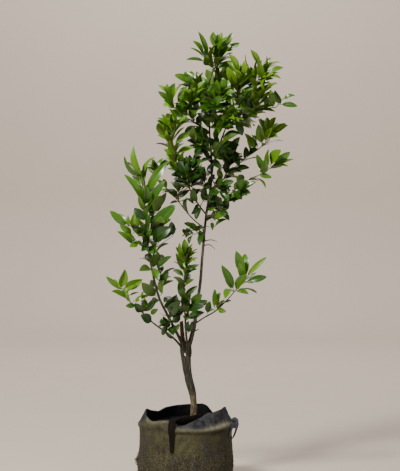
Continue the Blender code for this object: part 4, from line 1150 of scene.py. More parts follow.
def roughenBark(made, furrow, rough):
    # furrows that run with the limb, then a fine grain; the limb's thickness is kept as a value
    mesh = made.data
    girth = np.zeros(len(mesh.vertices))
    bleached = np.zeros(len(mesh.vertices))
    normals = [vertex.normal.copy() for vertex in mesh.vertices]
    for k, vertex in enumerate(mesh.vertices):
        place = vertex.co.copy()
        radius = nearestLimb(place)[1]
        girth[k] = ramp(radius, 0.0018, 0.0095)
        side = ramp(place.x, 0.016, 0.022) * (1 - ramp(place.x, 0.062, 0.070))
        bleached[k] = side * (ramp(place.z, 0.46, 0.55) - ramp(place.z, 0.70, 0.84))
        slow = Vector((place.x, place.y, place.z * 0.16))
        deep = 1 - abs(waver(slow, 0.0032 + 0.25 * radius, 4)) * 2.2
        lift = -furrow * radius * max(deep, 0)
        lift += 0.10 * radius * waver(place, 0.022, 5) * girth[k]
        lift += rough * waver((place.x, place.y, place.z * 0.5), 0.0022, 6)
        if 0.375 < place.z < 0.462 and abs(place.x + 0.004) < 0.006:
            groove = bump(place.x, 0.10 * (place.z - 0.42) - 0.004, 0.0022)
            lift -= 0.0022 * groove * ramp(place.z, 0.375, 0.395) * (1 - ramp(place.z, 0.45, 0.462))
        vertex.co = place + normals[k] * lift
    storeValues(mesh, girth=girth, bleached=bleached)


def barkMaterial():
    made, tree, shader = newMaterial("furrowedBark", {"Roughness": 0.85, "Specular IOR Level": 0.3})
    tones = bark["colours"]
    furrows = grain(tree, 420, 0.40, 0.60, 5, stretch=(1, 1, 0.11))
    streaks = grain(tree, 170, 0.50, 0.66, stretch=(1, 1, 0.13))
    blotches = grain(tree, 45, 0.40, 0.62, 5)
    low = useGroup(
        tree, bandGroup, {"From": 0.1, "To": 0.262, "Soft": 0.055, "Ragged": 0.05, "Scale": 40.0}
    )[0]
    base = layers(
        tree, tones["young"], (stored(tree, "girth"), tones["grey"]),
        (stored(tree, "bleached"), tones["ashen"]),
    )
    pale = times(tree, streaks, timesPlus(tree, blotches, 0.5, 0.3))
    sandy = mixColour(tree, times(tree, streaks, 0.75), tones["tan"], tones["brown"])
    dark = times(tree, mathNode(tree, "SUBTRACT", 1.0, furrows), 0.72)
    base = layers(tree, base, (pale, tones["streak"]), (low, sandy), (dark, tones["furrow"]))
    normal = relief(tree, 900, 380, 0.0009, share=0.6, stretch=(1, 1, 0.2))
    rough = timesPlus(tree, furrows, -0.12, 0.9)
    feed(tree, shader, Base_Color=base, Normal=normal, Roughness=rough)
    return made


def cutSlit(made):
    # the narrow see-through slit low in the fork, between two stems that have grown together
    bpy.ops.object.select_all(action="DESELECT")
    bpy.ops.mesh.primitive_uv_sphere_add(segments=24, ring_count=16, radius=1, location=(0, 0, 0))
    tool = bpy.context.object
    slit = bark["slit"]
    for vertex in tool.data.vertices:
        shape = Vector(a * b for a, b in zip(vertex.co, slit["size"]))
        shape.x -= slit["lean"] * shape.z
        vertex.co = Vector(slit["centre"]) + shape
    cut = made.modifiers.new("slit", "BOOLEAN")
    cut.operation = "DIFFERENCE"
    cut.solver = "EXACT"
    cut.object = tool
    applyAll(made)
    bpy.data.objects.remove(tool, do_unlink=True)


def makeWood():
    tubes = []
    for name, spec in limbs.items():
        if name == "pruned_stub":
            continue
        line, radii = limbLine(spec)
        if name == "trunk":
            line.insert(0, line[0] - Vector((0, 0, bark["rootDepth"])))
            radii.insert(0, radii[0] + bark["flare"])
        tubes.append(limbTube(name + ".tube", line, radii))
        if name == "trunk":
            cutSlit(tubes[-1])
    for number, spec in enumerate(bareTwigs):
        tubes.append(limbTube(f"spur.{number}", *limbLine(spec)))
    for centre, radius in bark["knobs"]:
        bpy.ops.mesh.primitive_ico_sphere_add(subdivisions=3, radius=radius, location=centre)
        bpy.ops.object.transform_apply(location=True, rotation=True, scale=True)
        tubes.append(bpy.context.object)
    made = joinTo(*tubes)
    made.name = made.data.name = "barkWood"
    made.data.materials.clear()
    meltTogether(made, bark["voxel"], 2)
    roughenBark(made, bark["furrow"], bark["rough"])
    made.data.materials.append(barkMaterial())
    smoothBy(made, 75)
    return made


barkWood = makeWood()
print("trunk and boughs made:", len(barkWood.data.polygons), "faces")


# the old leader, pruned off short: a stub with a slanting cut

stub = {
    "voxel": 0.0009,
    "furrow": 0.09,
    "rough": 0.00028,
    "cutAt": (-0.0150, 0.017, 0.5265),
    "cutWay": (-0.35, -0.15, 1.0),
    "colours": {
        "red": colour(0.075, 0.034, 0.022),
        "dark": colour(0.022, 0.014, 0.011),
        "ash": colour(0.120, 0.095, 0.080),
        "heart": colour(0.190, 0.120, 0.070),
    },
}


def stubMaterial(name, first, second, third, stretch):
    made, tree, shader = newMaterial(name, {"Roughness": 0.85, "Specular IOR Level": 0.3})
    lines = grain(tree, 380, 0.38, 0.62, 5, stretch=stretch)
    patches = grain(tree, 90, 0.50, 0.70)
    base = mixColour(tree, lines, second, first)
    base = mixColour(tree, times(tree, patches, 0.6), base, third)
    normal = relief(tree, 900, 350, 0.0009, stretch=stretch)
    feed(tree, shader, Base_Color=base, Normal=normal)
    return made


def makeStub():
    line, radii = limbLine(limbs["pruned_stub"])
    made = limbTube("prunedStub", line, radii)
    made.data.name = "prunedStub"
    meltTogether(made, stub["voxel"], 2)
    roughenBark(made, stub["furrow"], stub["rough"])
    tones = stub["colours"]
    made.data.materials.clear()
    for material in (
        stubMaterial("stubBark", tones["red"], tones["dark"], tones["ash"], (1, 1, 0.12)),
        stubMaterial("stubCut", tones["heart"], tones["red"], tones["ash"], (1, 1, 1)),
    ):
        made.data.materials.append(material)
    only(made)
    editAll()
    bpy.ops.mesh.bisect(
        plane_co=stub["cutAt"], plane_no=Vector(stub["cutWay"]).normalized(), use_fill=True, clear_outer=True
    )
    endEdit()
    for polygon in made.data.polygons:
        polygon.material_index = 1 if len(polygon.vertices) > 8 else 0
    smoothBy(made, 50)
    return made


prunedStub = makeStub()
print("pruned stub made")


# foliage: every mass is a shoot that grows on from its limb, with side twigs and glossy leaves


def shoot(age, leaf, fill, twigs, seed, stem, tips=()):
    # leaf is a full leaf's length, fill and twigs are how many leaves and side twigs stand among those of
    # the outline, and tips are the outline's; lengths and places are in millimetres
    return {
        "age": age, "leaf": leaf / 1000, "fill": fill, "twigs": twigs, "seed": seed,
        "stem": [metres(point) for point in stem], "tips": [metres(point) for point in tips],
    }


masses = {
    "top_rosette": shoot("young", 72, 9, 0, 3, [(90, 0, 1333), (103, -4, 1358), (106, -6, 1386)]),
    "high_right_shoot": shoot("young", 70, 9, 1, 5,
        [(204, -30, 1262), (226, -30, 1291), (242, -30, 1316)], [
        (205.6, -30, 1393.6), (261.5, -30, 1356.1), (296.4, -30, 1321.2), (243.4, 0, 1364.7),
        (188.3, -60, 1375.4), (271.8, -60, 1280.6),
    ]),
    "high_inner_shoot": shoot("young", 68, 11, 1, 8,
        [(166, -30, 1211), (165, -50, 1257), (168, -60, 1306)], [
        (156, -50, 1367), (189, -80, 1353), (204, -90, 1327), (130, -40, 1353), (217, -80, 1309),
    ]),
    "right_shoot": shoot("young", 66, 9, 1, 13, [(197, -30, 1178), (225, -45, 1216), (244, -50, 1253)], [
        (239, -90, 1261), (271, -70, 1238), (270, -30, 1284), (215, -70, 1279), (285, -50, 1193),
    ]),
    "far_right_shoot": shoot("young", 64, 0, 0, 2,
        [(235, -30, 1197), (261, -30, 1207), (289, -30, 1211), (297, -30, 1230)]),
    "high_left_rosette": shoot("young", 60, 4, 0, 4, [(74, -2, 1243), (48, -10, 1265), (24, -15, 1286)], [
        (-38, -20, 1315), (-5, -30, 1323), (15, 10, 1331), (35, -10, 1327), (64, -40, 1296),
        (-13, 30, 1292),
    ]),
    "left_shoot": shoot("young", 60, 6, 0, 6, [(-12, -20, 1182), (-36, -20, 1212), (-49, -20, 1251)]),
    "left_inner_shoot": shoot("mid", 64, 9, 1, 15, [(26, -12, 1165), (20, -30, 1202), (20, -50, 1231)], [
        (33, -90, 1264), (-24, -90, 1233), (45, -100, 1226),
    ]),
    "mid_left_shoot": shoot("young", 62, 8, 1, 9, [(-32, -40, 1046), (-42, -45, 1102), (-44, -45, 1150)], [
        (-101.1, -45, 1174.7), (-76.3, -40, 1187.8), (-36.9, -60, 1192.1), (-18.8, -30, 1173),
        (26.1, -50, 1125.8), (-59.9, -70, 1136.4), (-49.1, -75, 1103), (-2.1, -70, 1143.9),
        (-51.1, -60, 1055.1), (26.1, -60, 1081.8), (-5.3, -90, 1099),
    ]),
    "left_stem_leaves": shoot("old", 60, 9, 1, 18, [(16, -29, 943), (7, -40, 979), (4, -45, 1014)], [
        (64, -60, 1016), (32, -50, 1048), (-24, -70, 984), (45, -100, 989),
    ]),
    "crown_front": shoot("mid", 66, 13, 2, 21, [(77, 2, 1180), (89, -50, 1212), (110, -110, 1234)], [
        (113, -130, 1284), (64, -130, 1247), (156, -140, 1246),
    ]),
    "crown_front_low": shoot("mid", 66, 11, 1, 22, [(76, 4, 1148), (102, -50, 1162), (132, -100, 1170)], [
        (61, -100, 1163), (169, -130, 1185),
    ]),
    "crown_back": shoot("mid", 66, 9, 4, 23, [(75, 0, 1186), (74, 60, 1234), (78, 120, 1284)], [
        (138, 130, 1344), (72, 140, 1326), (-21, 120, 1264), (12, 150, 1294),
    ]),
    "crown_back_right": shoot("mid", 66, 12, 2, 25, [(129, -28, 1148), (168, 50, 1191), (203, 110, 1236)], [
        (250, 130, 1265), (210, 130, 1298),
    ]),
    "top_back": shoot("young", 66, 11, 1, 27, [(74, -2, 1259), (97, 40, 1293), (126, 70, 1330)], [
        (163, 90, 1359), (117, 80, 1370), (145, 30, 1357), (65, 60, 1341),
    ]),
    "mid_right_shoot": shoot("young", 62, 6, 0, 11,
        [(196.9, 30, 1056.9), (230.5, 30, 1079.1), (265.9, 30, 1108.2), (278.8, 30, 1134)]),
    "low_right_shoot": shoot("young", 62, 3, 0, 14,
        [(210, -40, 984.8), (241.3, -40, 998.8), (273, -40, 1020.3)]),
    "low_right_leaves": shoot("old", 58, 2, 0, 16, [(153, -37, 944), (167, -50, 936), (174, -60, 944)], [
        (222, -70, 971), (177, -80, 915), (153, -30, 907),
    ]),
    "mid_low_shoot": shoot("old", 64, 8, 1, 17, [(122, 22, 985), (136, 40, 1022), (146, 50, 1058)], [
        (175, 40, 1122), (160, 0, 1077), (192, 70, 1049),
    ]),
    "mid_front_shoot": shoot("old", 66, 6, 0, 19, [(90, -12, 1035), (99, -60, 1063), (111, -90, 1089)]),
    "mid_left_front": shoot("old", 64, 6, 0, 20, [(80, 6, 1071), (51, -30, 1084), (29, -50, 1102)]),
    "mid_back_shoot": shoot("old", 64, 9, 0, 28, [(82, 5, 1045), (58, 60, 1075), (38, 100, 1104)]),
    "leader_leaves": shoot("old", 56, 3, 0, 29, [(83, 2, 987), (96, -30, 957), (111, -50, 947)], [
        (136, -60, 906), (80, -70, 915), (146, -50, 957),
    ]),
    "leader_back_leaves": shoot("old", 56, 8, 1, 30, [(79, 0, 946), (61, 35, 973), (45, 55, 993)], [
        (19, 60, 1016),
    ]),
    "low_leader_leaves": shoot("old", 48, 3, 0, 31, [(65, -4, 856), (87, 14, 872), (109, 24, 889)], [
        (137, 30, 879), (145, 20, 921), (115, 0, 847), (133, 50, 852), (89, -30, 862),
    ]),
    "narrow_leaves": shoot("old", 40, 0, 0, 33, [(60, -4, 815), (43, -20, 811), (29, -30, 821)], [
        (-6, -35, 842), (16, -40, 844), (45, -45, 770), (51, -40, 837),
    ]),
    "left_twig_tip": shoot("mid", 52, 2, 0, 34, [(-81, 30, 969), (-95, 30, 995), (-100, 30, 1018)], [
        (-110, 30, 1048), (-36, 20, 1042), (-130, 50, 1022), (-75, 60, 1049),
    ]),
    "left_twig_leaves": shoot("old", 46, 5, 0, 35, [(-23, 27, 911), (-23, 20, 937), (-26, 15, 959)], [
        (-11, 20, 982), (-48, 0, 978), (13, 30, 950), (0, -10, 907), (-62, 40, 951),
    ]),
    "left_bough_top": shoot("mid", 92, 5, 0, 36, [(-129, -65, 915), (-135, -65, 956), (-138, -65, 994)]),
    "left_bough_upper": shoot("young", 70, 3, 0, 37,
        [(-121.2, -63, 795.6), (-148.1, -72, 809.7), (-175.9, -80, 836.3)]),
    "left_bough_right": shoot("old", 84, 5, 0, 38, [(-124, -64, 833), (-109, -70, 855), (-96, -72, 874)]),
    "left_bough_side": shoot("young", 50, 3, 0, 39, [(-116, -58, 751), (-137, -70, 770), (-156, -75, 789)]),
    "left_bough_middle": shoot("old", 64, 4, 0, 40, [(-109, -56, 710), (-101, -40, 739), (-95, -30, 764)]),
    "left_bough_low": shoot("old", 62, 4, 0, 41, [(-91, -46, 625), (-85, -30, 656), (-79, -20, 681)]),
    "low_left_shoot": shoot("light", 60, 3, 0, 42,
        [(-168.9, 42, 578.8), (-193.4, 42, 599.6), (-209.6, 42, 631.9)]),
    "low_left_leaves": shoot("light", 46, 3, 0, 43, [(-138, 40, 551), (-139, 35, 576), (-144, 30, 595)]),
    "middle_rosette": shoot("young", 50, 7, 0, 45, [(-4, -36, 659), (-3, -36, 700), (1, -36, 732)], [
        (-31.1, -50, 767.1), (-3.9, -30, 792.3), (22.9, -45, 777.2), (37.4, -40, 750.5), (39.6, -50, 731.7),
        (-30, -60, 745.2), (-18.1, -70, 780.5), (12.2, -60, 787.7),
    ]),
    "middle_leaves": shoot("old", 60, 3, 0, 46, [(-3, -34, 589), (-15, -20, 611), (-19, -10, 639)]),
    "middle_low_leaves": shoot("old", 62, 6, 0, 47, [(-1, -31, 535), (10, -55, 562), (17, -65, 585)]),
    "crotch_leaves": shoot("old", 44, 5, 0, 48, [(-50, -32, 535), (-56, -40, 520), (-64, -45, 519)]),
    "right_shoot_tip": shoot("light", 70, 6, 0, 49,
        [(155, -45, 626), (176.1, -48, 648.6), (192.8, -50, 673.9)]),
    "right_shoot_leaves": shoot("light", 44, 3, 0, 50,
        [(101.8, -29, 569.4), (98.3, -30, 577.1), (96.7, -32, 585.4)]),
}
growth = {
    "turn": math.radians(137.5),
    "fillShare": 1.65,  # leaves on the stem for each one that a mass is given
    "rosette": 4,  # small leaves round the end of each shoot
    "rosetteSize": 0.74,
    "rosetteLean": (22, 9, 6),  # degrees off the shoot: the first leaf's, the gain per leaf, and the stray
    "lean": (80, 42, 10),  # degrees off the stem: at its foot, the loss up to its end, and the stray
    "twigLength": 0.046,
    "twigLeaves": 5,
    "extraTwigs": 1,
    "twigFirst": 0.28,
    "twigSpan": 0.5,
    "petiole": 0.11,  # share of the way from the stem to a leaf's tip
    "longest": 1.12,  # a leaf of the outline is at most this much of a full one; a twig bears the rest
    "stemRadii": (0.0019, 0.0011),
    "twigRadii": (0.0013, 0.0008),
    "petioleRadii": (0.00085, 0.00070),
    "reach": 0.007,  # how far past its mass's own space a leaf may stand
    "tries": 12,
    "room": 0.062,  # the free space round each part of a leaf, as a share of its length
    "light": Vector((-0.30, -0.60, 0.74)),  # the way that the leaves turn their faces
    "clearOfWood": 0.004,
    "loneSeed": 40,
    "loneFace": Vector((-0.15, -0.90, 0.35)),
    "loneStray": 0.52,
    "lonePetiole": 0.05,
    "loneWider": 1.20,
    "woodNear": 0.006,  # a lone leaf whose foot is farther from wood than this gets a longer stalk
    "stalkRadii": (0.0011, 0.0010),
    "older": {"light": "young", "young": "mid", "mid": "old", "old": "old"},
    "olderBelow": 0.36,
    # how much a leaf also turns its face to its own shoot, and how much it strays: for the leaves of
    # the outline and the lone ones, and for those that fill the space among them
    "toAxis": (0.30, 0.55),
    "stray": (0.42, 0.62),
}
# leaves that stand along the limbs between the masses: first and last share of the limb's length,
# how many, their length and their age
limbLeaves = [
    ("upper_left_bough", 0.45, 0.98, 16, 0.052, "mid"),
    ("left_fork", 0.25, 0.95, 12, 0.054, "mid"),
    ("right_arm", 0.15, 0.9, 10, 0.056, "mid"),
    ("mid_right_bough", 0.25, 0.95, 10, 0.054, "old"),
    ("low_right_bough", 0.25, 0.95, 6, 0.052, "old"),
    ("leader", 0.52, 0.66, 4, 0.042, "old"),
    ("left_twig", 0.55, 0.95, 6, 0.038, "mid"),
]
# leaves that stand alone, told by their columns and rows in the front view, counted from its top left:
# age, tone, width, foot, tip, and how many millimetres the tip stands behind the wood that bears it
loneLeaves = [
    # left bough, upper part
    ("mid", 2, 7.6, (142, 177.2), (134, 146), -20), ("mid", 0, 7.2, (139.8, 177.2), (124.6, 155.6), -10),
    ("mid", 1, 6.6, (145, 205), (124, 174.3), -30), ("mid", 1, 7.6, (146, 191.5), (167.9, 161.1), -20),
    ("mid", 0, 9.6, (147.4, 209.6), (166.2, 180.6), -30), ("mid", 0, 7.4, (148.2, 212), (166.6, 192.3), 0),
    ("mid", 1, 6.4, (143.2, 186), (147.5, 165.5), 20), ("mid", 0, 6, (145.2, 200), (136.8, 184), 30),
    ("mid", 1, 6.6, (126.5, 226), (109.9, 210.8), -10),
    ("light", 1, 4.4, (129.4, 227), (134.6, 212.8), -20), ("light", 0, 4.2, (129, 227), (128.4, 215.5), 0),
    ("old", 0, 7.4, (144.8, 221), (133, 208.4), 0), ("old", 0, 8.8, (146.2, 232.8), (131.4, 223.9), -20),
    ("mid", 2, 4.4, (146.8, 227.6), (138, 218), -30),
    ("young", 0, 5.2, (133.8, 244.4), (117.2, 231.4), -20),
    ("light", 0, 5.6, (131.8, 234.2), (119.6, 224.6), -20),
    ("young", 0, 6, (141, 236), (132.5, 230.5), -30), ("young", 1, 5.2, (140, 243), (129.4, 247.2), -20),
    ("young", 2, 4.6, (141.5, 245), (136, 241.5), -30),
    ("young", 0, 4.6, (146.5, 243.5), (143, 234.5), -30), ("old", 1, 5, (148.6, 244), (141.2, 251.5), -20),
    ("mid", 0, 12.2, (149.6, 237.8), (176.3, 204.2), -20),
    ("light", 1, 5.6, (153.8, 228.4), (175.6, 208.2), 10), ("light", 1, 5, (153, 228), (171.6, 219.4), -20),
    ("old", 0, 11.4, (152.6, 242), (172, 227.2), -40), ("old", 0, 6.2, (173, 236), (171.6, 221.6), 0),
    ("old", 1, 5.6, (160, 240.5), (176.8, 228.6), 10), ("mid", 0, 7, (149.8, 246), (157.2, 254), -30),
    # left bough, lower part
    ("old", 2, 10.4, (153.7, 268), (155, 249.6), -30), ("old", 1, 6, (156.2, 268), (172.2, 256.4), -20),
    ("old", 2, 8.2, (151.6, 270.8), (139.2, 271.2), -20), ("mid", 1, 6.2, (154, 268.6), (158.8, 281), -40),
    ("old", 1, 7, (161.4, 283.6), (168.6, 270.8), -20), ("mid", 1, 8, (161.8, 294.4), (164.4, 280.6), -40),
    ("old", 2, 8.8, (156.2, 296.2), (141.8, 282.4), -30),
    ("old", 1, 6.4, (144.8, 311.6), (156.2, 297.4), 0), ("old", 0, 6.6, (144, 311.8), (134.6, 303.6), -10),
    ("mid", 1, 6, (144.2, 311), (145.2, 299), 20), ("mid", 0, 4.8, (150.8, 314), (158.6, 309.6), -20),
    ("old", 0, 8, (152.2, 322), (140.6, 315.2), -20), ("mid", 0, 4.6, (134.8, 307.6), (125.6, 306.4), -10),
    ("old", 0, 11.4, (167.6, 310.4), (176.9, 294.6), -50),
    ("old", 0, 9.2, (169.4, 314.6), (181, 301.2), -60), ("old", 0, 6.6, (172.6, 314.6), (184.2, 310), -30),
    ("old", 2, 6.4, (172.4, 323.4), (163.2, 316.2), -50),
    ("old", 1, 6, (173.2, 326.2), (177.8, 315.8), -40),
    ("old", 0, 5.6, (169.6, 327.6), (164.2, 320.4), -30),
    ("old", 0, 7.4, (173.4, 325.6), (173.6, 335.6), -50),
    ("light", 0, 4.6, (175.6, 330.4), (179.4, 323.8), -30), ("old", 1, 7, (170.2, 318.6), (177.6, 308), 20),
    ("old", 0, 6.2, (171.6, 321), (180.6, 316.2), 20), ("mid", 1, 3.4, (163.2, 329.6), (168.2, 327.6), -20),
    ("old", 0, 3.6, (166, 333), (172.2, 339.2), -10), ("old", 1, 3.2, (161.4, 325.6), (162.4, 318.4), -10),
    ("old", 1, 5.2, (160.4, 300.6), (152.6, 300.4), 30), ("old", 0, 6, (163.8, 303), (170.8, 296.4), 30),
    ("old", 1, 5.6, (157.4, 288.6), (150.2, 281.4), 40), ("old", 1, 6, (151.6, 262), (145, 255), 30),
    ("old", 0, 5.8, (152.6, 276), (160.6, 270.4), 30),
    # middle bough
    ("old", 2, 6.6, (184.4, 273), (175.8, 253.2), -20), ("old", 2, 6.6, (184.2, 290.6), (173, 277.2), -30),
    ("old", 1, 6, (184.6, 300), (179.2, 281.2), 0), ("old", 1, 4.6, (186.6, 270.4), (200.4, 264.4), -20),
    ("old", 0, 6.8, (186.2, 278.6), (197.6, 269.4), -20),
    ("old", 2, 4.8, (186.2, 287.2), (194.8, 279.4), -20),
    ("old", 1, 4.6, (186.2, 295.2), (197.8, 286), -10),
    ("mid", 0, 6.4, (190.4, 304.4), (202.4, 294.4), -30),
    ("old", 0, 7.6, (187.6, 309.2), (205.2, 306.2), -40),
    ("old", 2, 7.4, (185.8, 307.6), (183.4, 292.4), -50),
    ("old", 2, 3, (186.6, 318.6), (188.8, 310.4), -20), ("old", 0, 4.4, (188, 332.4), (188.8, 321), -20),
    ("old", 0, 4.2, (188.6, 332.6), (192.4, 320.8), -20), ("old", 0, 5.6, (184.8, 284), (190.4, 274.2), 30),
    ("old", 1, 5.6, (185, 302), (190, 292), 30), ("old", 0, 5.4, (185.4, 313), (179, 306.4), 30),
    # low left shoot
    ("light", 0, 4.6, (119.4, 288.8), (106.2, 276.4), -10),
    ("light", 1, 7.8, (121.4, 287.2), (124.9, 269.2), -10),
    ("light", 1, 8.2, (124.6, 288), (142.8, 279.4), -20),
    ("light", 0, 5.2, (127.4, 291.2), (137.4, 285.6), -30),
    ("light", 0, 6.6, (126.2, 298.8), (111.4, 291.6), -20),
    ("mid", 1, 2.4, (128.9, 296), (139.6, 292.6), 20), ("light", 1, 3.4, (134, 300.8), (149.6, 295.4), 0),
    ("mid", 2, 3, (135.4, 303.2), (140.2, 300.2), -20),
    # right shoot
    ("young", 0, 7.8, (243.8, 274.2), (236, 250.8), -20),
    ("light", 1, 4.6, (246.6, 275.4), (267, 257), -10), ("mid", 0, 6.8, (233.8, 289.6), (221.6, 265), -20),
    ("young", 0, 5.6, (231.4, 290), (225.8, 274.6), 20), ("young", 0, 7.2, (236, 290.4), (247.2, 274), -40),
    ("mid", 0, 6.2, (246, 282.2), (267.2, 277), 0), ("old", 0, 4, (241.4, 279.4), (240.8, 268), 30),
    ("mid", 2, 7.2, (233, 290), (225.2, 299.2), -40), ("old", 0, 4.6, (216.4, 309), (225.4, 300.2), -20),
    ("old", 0, 3.8, (224.8, 303.2), (231.4, 301), 0), ("mid", 0, 4.6, (214.4, 308), (215.1, 289), 0),
    ("old", 1, 5.8, (207.6, 313.4), (210.2, 301.2), -10), ("mid", 2, 2.6, (214, 309), (210.2, 311.6), -20),
    ("light", 0, 4.6, (217.6, 309.6), (226.8, 312.2), -30), ("young", 0, 3, (221, 306), (222.4, 302), 20),
    # in front of the left bough's stem
    ("old", 1, 6.8, (147, 232), (150.4, 213.4), -40), ("old", 0, 6.8, (147.5, 240.5), (143, 222), -40),
    ("mid", 0, 6.8, (148.2, 246.4), (152.4, 229), -50), ("old", 1, 6.4, (146, 222), (149, 203.4), -30),
    ("mid", 0, 6.6, (144.5, 206), (146.6, 185), -40), ("mid", 0, 6.4, (143.5, 196), (140.8, 176.6), -30),
    ("old", 0, 6.8, (149, 253), (146.4, 236.4), -40), ("mid", 1, 6.2, (144, 213), (139.2, 195.4), -40),
    # middle of the crown
    ("old", 1, 7, (208.6, 140.6), (189.4, 137), -60), ("old", 1, 6.8, (222, 138.6), (241.2, 134.4), -60),
    ("old", 0, 6.6, (218.6, 145), (238.4, 145.6), -50), ("old", 0, 6.8, (209.6, 145), (194.4, 154.8), -60),
    ("old", 0, 7, (230, 149), (239.8, 167.6), -40), ("old", 1, 5.6, (209.8, 152), (198.4, 150.4), -40),
    ("old", 0, 7.2, (195.2, 185), (204.2, 167.4), -50), ("mid", 0, 6.6, (211.6, 141), (203, 125.4), -80),
    ("mid", 1, 6.8, (213.6, 140), (224.4, 124.8), -90), ("old", 1, 6.4, (213.4, 150), (222.6, 160.2), -70),
    ("mid", 0, 6.4, (211, 133), (186, 129), -50), ("old", 0, 6.4, (216, 152), (230.6, 150.2), -80),
    ("old", 1, 6.2, (211, 158), (200.2, 163.4), -50), ("old", 0, 6, (213, 160), (222.4, 170.6), -50),
    ("mid", 0, 6.6, (212.6, 146), (214.6, 128.6), -100), ("old", 0, 6, (211, 150), (206.8, 137.4), -90),
    # top of the leader
    ("mid", 1, 6, (208.2, 56), (198.2, 31.6), -20), ("mid", 1, 5, (203.5, 55.4), (192.7, 40.9), -10),
    ("mid", 0, 3.8, (203.8, 57), (190, 47.8), 0), ("mid", 0, 3.2, (204.6, 61.4), (185.8, 59.9), -20),
    ("young", 0, 4.8, (216, 46.6), (213.2, 31.9), 10), ("young", 1, 4.8, (220.3, 45), (222.2, 32.2), 0),
    ("young", 0, 4.8, (226.4, 46.6), (232.9, 32.8), -10), ("mid", 1, 5.2, (224.8, 52), (240, 43), -10),
    ("young", 0, 8, (217, 60.8), (223.2, 39), -50), ("young", 1, 7.2, (213.6, 57.6), (210.4, 35.4), -30),
    ("young", 0, 6.6, (220.8, 58.8), (232.2, 45.6), -30), ("mid", 1, 6.4, (209.6, 66.2), (206, 55.6), -30),
    ("mid", 0, 5.4, (214, 66.4), (204.4, 50), 30), ("young", 0, 5.2, (218, 50), (217.6, 34), -30),
    ("mid", 1, 5.6, (219, 62), (229.6, 38), 30), ("young", 0, 6.8, (213, 62), (217.6, 44), -60),
    # left shoot of the crown
    ("mid", 1, 5.2, (171.8, 103.4), (158, 91.4), -30), ("mid", 1, 4.8, (171.2, 99.8), (163, 86.8), -20),
    ("mid", 2, 5.4, (172.4, 96.4), (167.2, 83.6), -10), ("mid", 1, 7.2, (173.6, 100), (175.1, 83), -40),
    ("young", 0, 6, (177.6, 103), (188.4, 86.2), -20), ("mid", 0, 5.8, (175.4, 108), (163.6, 101), -20),
    ("mid", 0, 5.8, (177, 110), (184.2, 98.6), -40), ("mid", 0, 5.6, (180.2, 114), (170.4, 112.4), -30),
    # right shoots
    # these upper ones take the palest tone of their age: painted light, for the bright light on this part of
    # the crown
    ("young", 2, 5.4, (274, 132), (286.3, 123.6), -20),
    ("young", 2, 8, (269.4, 132.4), (276.2, 117.2), -30),
    ("young", 2, 5.6, (269, 131.4), (267.3, 117.2), 0), ("mid", 2, 6.2, (267.3, 133.2), (258.5, 119), 20),
    ("young", 2, 6.2, (267.3, 139.5), (279.8, 137), -40),
    ("mid", 2, 5.6, (254.9, 149.3), (244.3, 133.5), -20), ("mid", 2, 7.2, (262, 144), (258.5, 124.3), -30),
    ("mid", 2, 6.4, (257.5, 147.6), (251.4, 134.9), -40),
    ("young", 2, 6.6, (265.6, 141.2), (272.7, 128), -50), ("mid", 2, 6.2, (266, 141), (264, 127), 30),
    ("young", 0, 5.6, (273.4, 165.8), (293.9, 159.4), -20),
    ("young", 0, 6.2, (274, 164.4), (290.4, 152), 0), ("young", 1, 10, (270.5, 165), (281.5, 150.2), -40),
    ("young", 0, 7, (268, 167), (269.1, 149.1), -20), ("young", 0, 5.2, (269.8, 169.5), (289, 166.8), -30),
    ("mid", 0, 5.6, (264.6, 170.8), (256.7, 154.4), -20),
    ("mid", 1, 4.6, (258.5, 175), (272.3, 177.8), -20), ("young", 0, 6.4, (263, 173), (266.3, 159.8), -50),
    # far right
    ("mid", 1, 5.2, (283.6, 99), (295.6, 95.8), -10), ("mid", 0, 5, (281.4, 104.6), (297.8, 106.6), -20),
    ("light", 0, 6, (273.4, 107.4), (270.4, 89.6), -30), ("mid", 0, 5.8, (281, 104.4), (275, 90.2), -20),
    ("mid", 1, 4.6, (268.4, 107.8), (265.4, 95), -10),
    # middle and upper crown
    ("mid", 0, 6.6, (196, 203.5), (193.2, 187.6), -20), ("old", 1, 5.8, (203, 201), (206, 186), -20),
    ("old", 0, 5.8, (193, 201), (200.6, 189), 10), ("mid", 1, 7.4, (209.2, 129), (197.2, 113), -50),
    ("mid", 0, 6.6, (208.8, 125), (201.6, 108.8), -30), ("mid", 0, 6.8, (209.4, 134), (196, 126), -40),
    ("mid", 0, 7.1, (189.4, 214.4), (187.4, 197.5), -26), ("old", 0, 4, (194, 204), (186, 199), -20),
    ("old", 0, 6.2, (201.9, 206.4), (196.3, 220), -20), ("old", 1, 2.5, (208, 200.3), (202, 199.9), -20),
    ("old", 0, 4.8, (216.6, 196.5), (217.6, 207.8), -30),
    ("mid", 2, 3.3, (208.6, 209.8), (216, 207.2), -20), ("mid", 1, 6.3, (214.6, 217.6), (229, 213.3), -30),
    ("old", 1, 3.5, (212.6, 222.5), (212.4, 230.8), -30),
    ("mid", 0, 5.8, (214.6, 227), (226.4, 219.6), -30),
    ("old", 1, 4.1, (201.3, 225.8), (192.6, 230.4), -20), ("old", 0, 5.7, (203.7, 243), (199.6, 230), -29),
    ("old", 0, 5.4, (198, 203.6), (191, 214.5), -18), ("mid", 0, 6, (200.5, 206.5), (209, 195), -38),
    ("old", 1, 4.8, (204, 190), (211, 181), -30), ("mid", 2, 2.2, (210, 186.5), (204.8, 187.6), -36),
    ("mid", 1, 4.9, (225.6, 200.5), (235.4, 194.2), -25),
    ("old", 0, 5.9, (226.3, 201.8), (240, 199.2), -15),
]
frontView = {
    "eye": (0.045, -3.8, 0.805),
    "middle": (200, 235),  # the column and row straight ahead of the eye
    "steps": 1187.5,  # columns to a metre, one metre from the eye
}
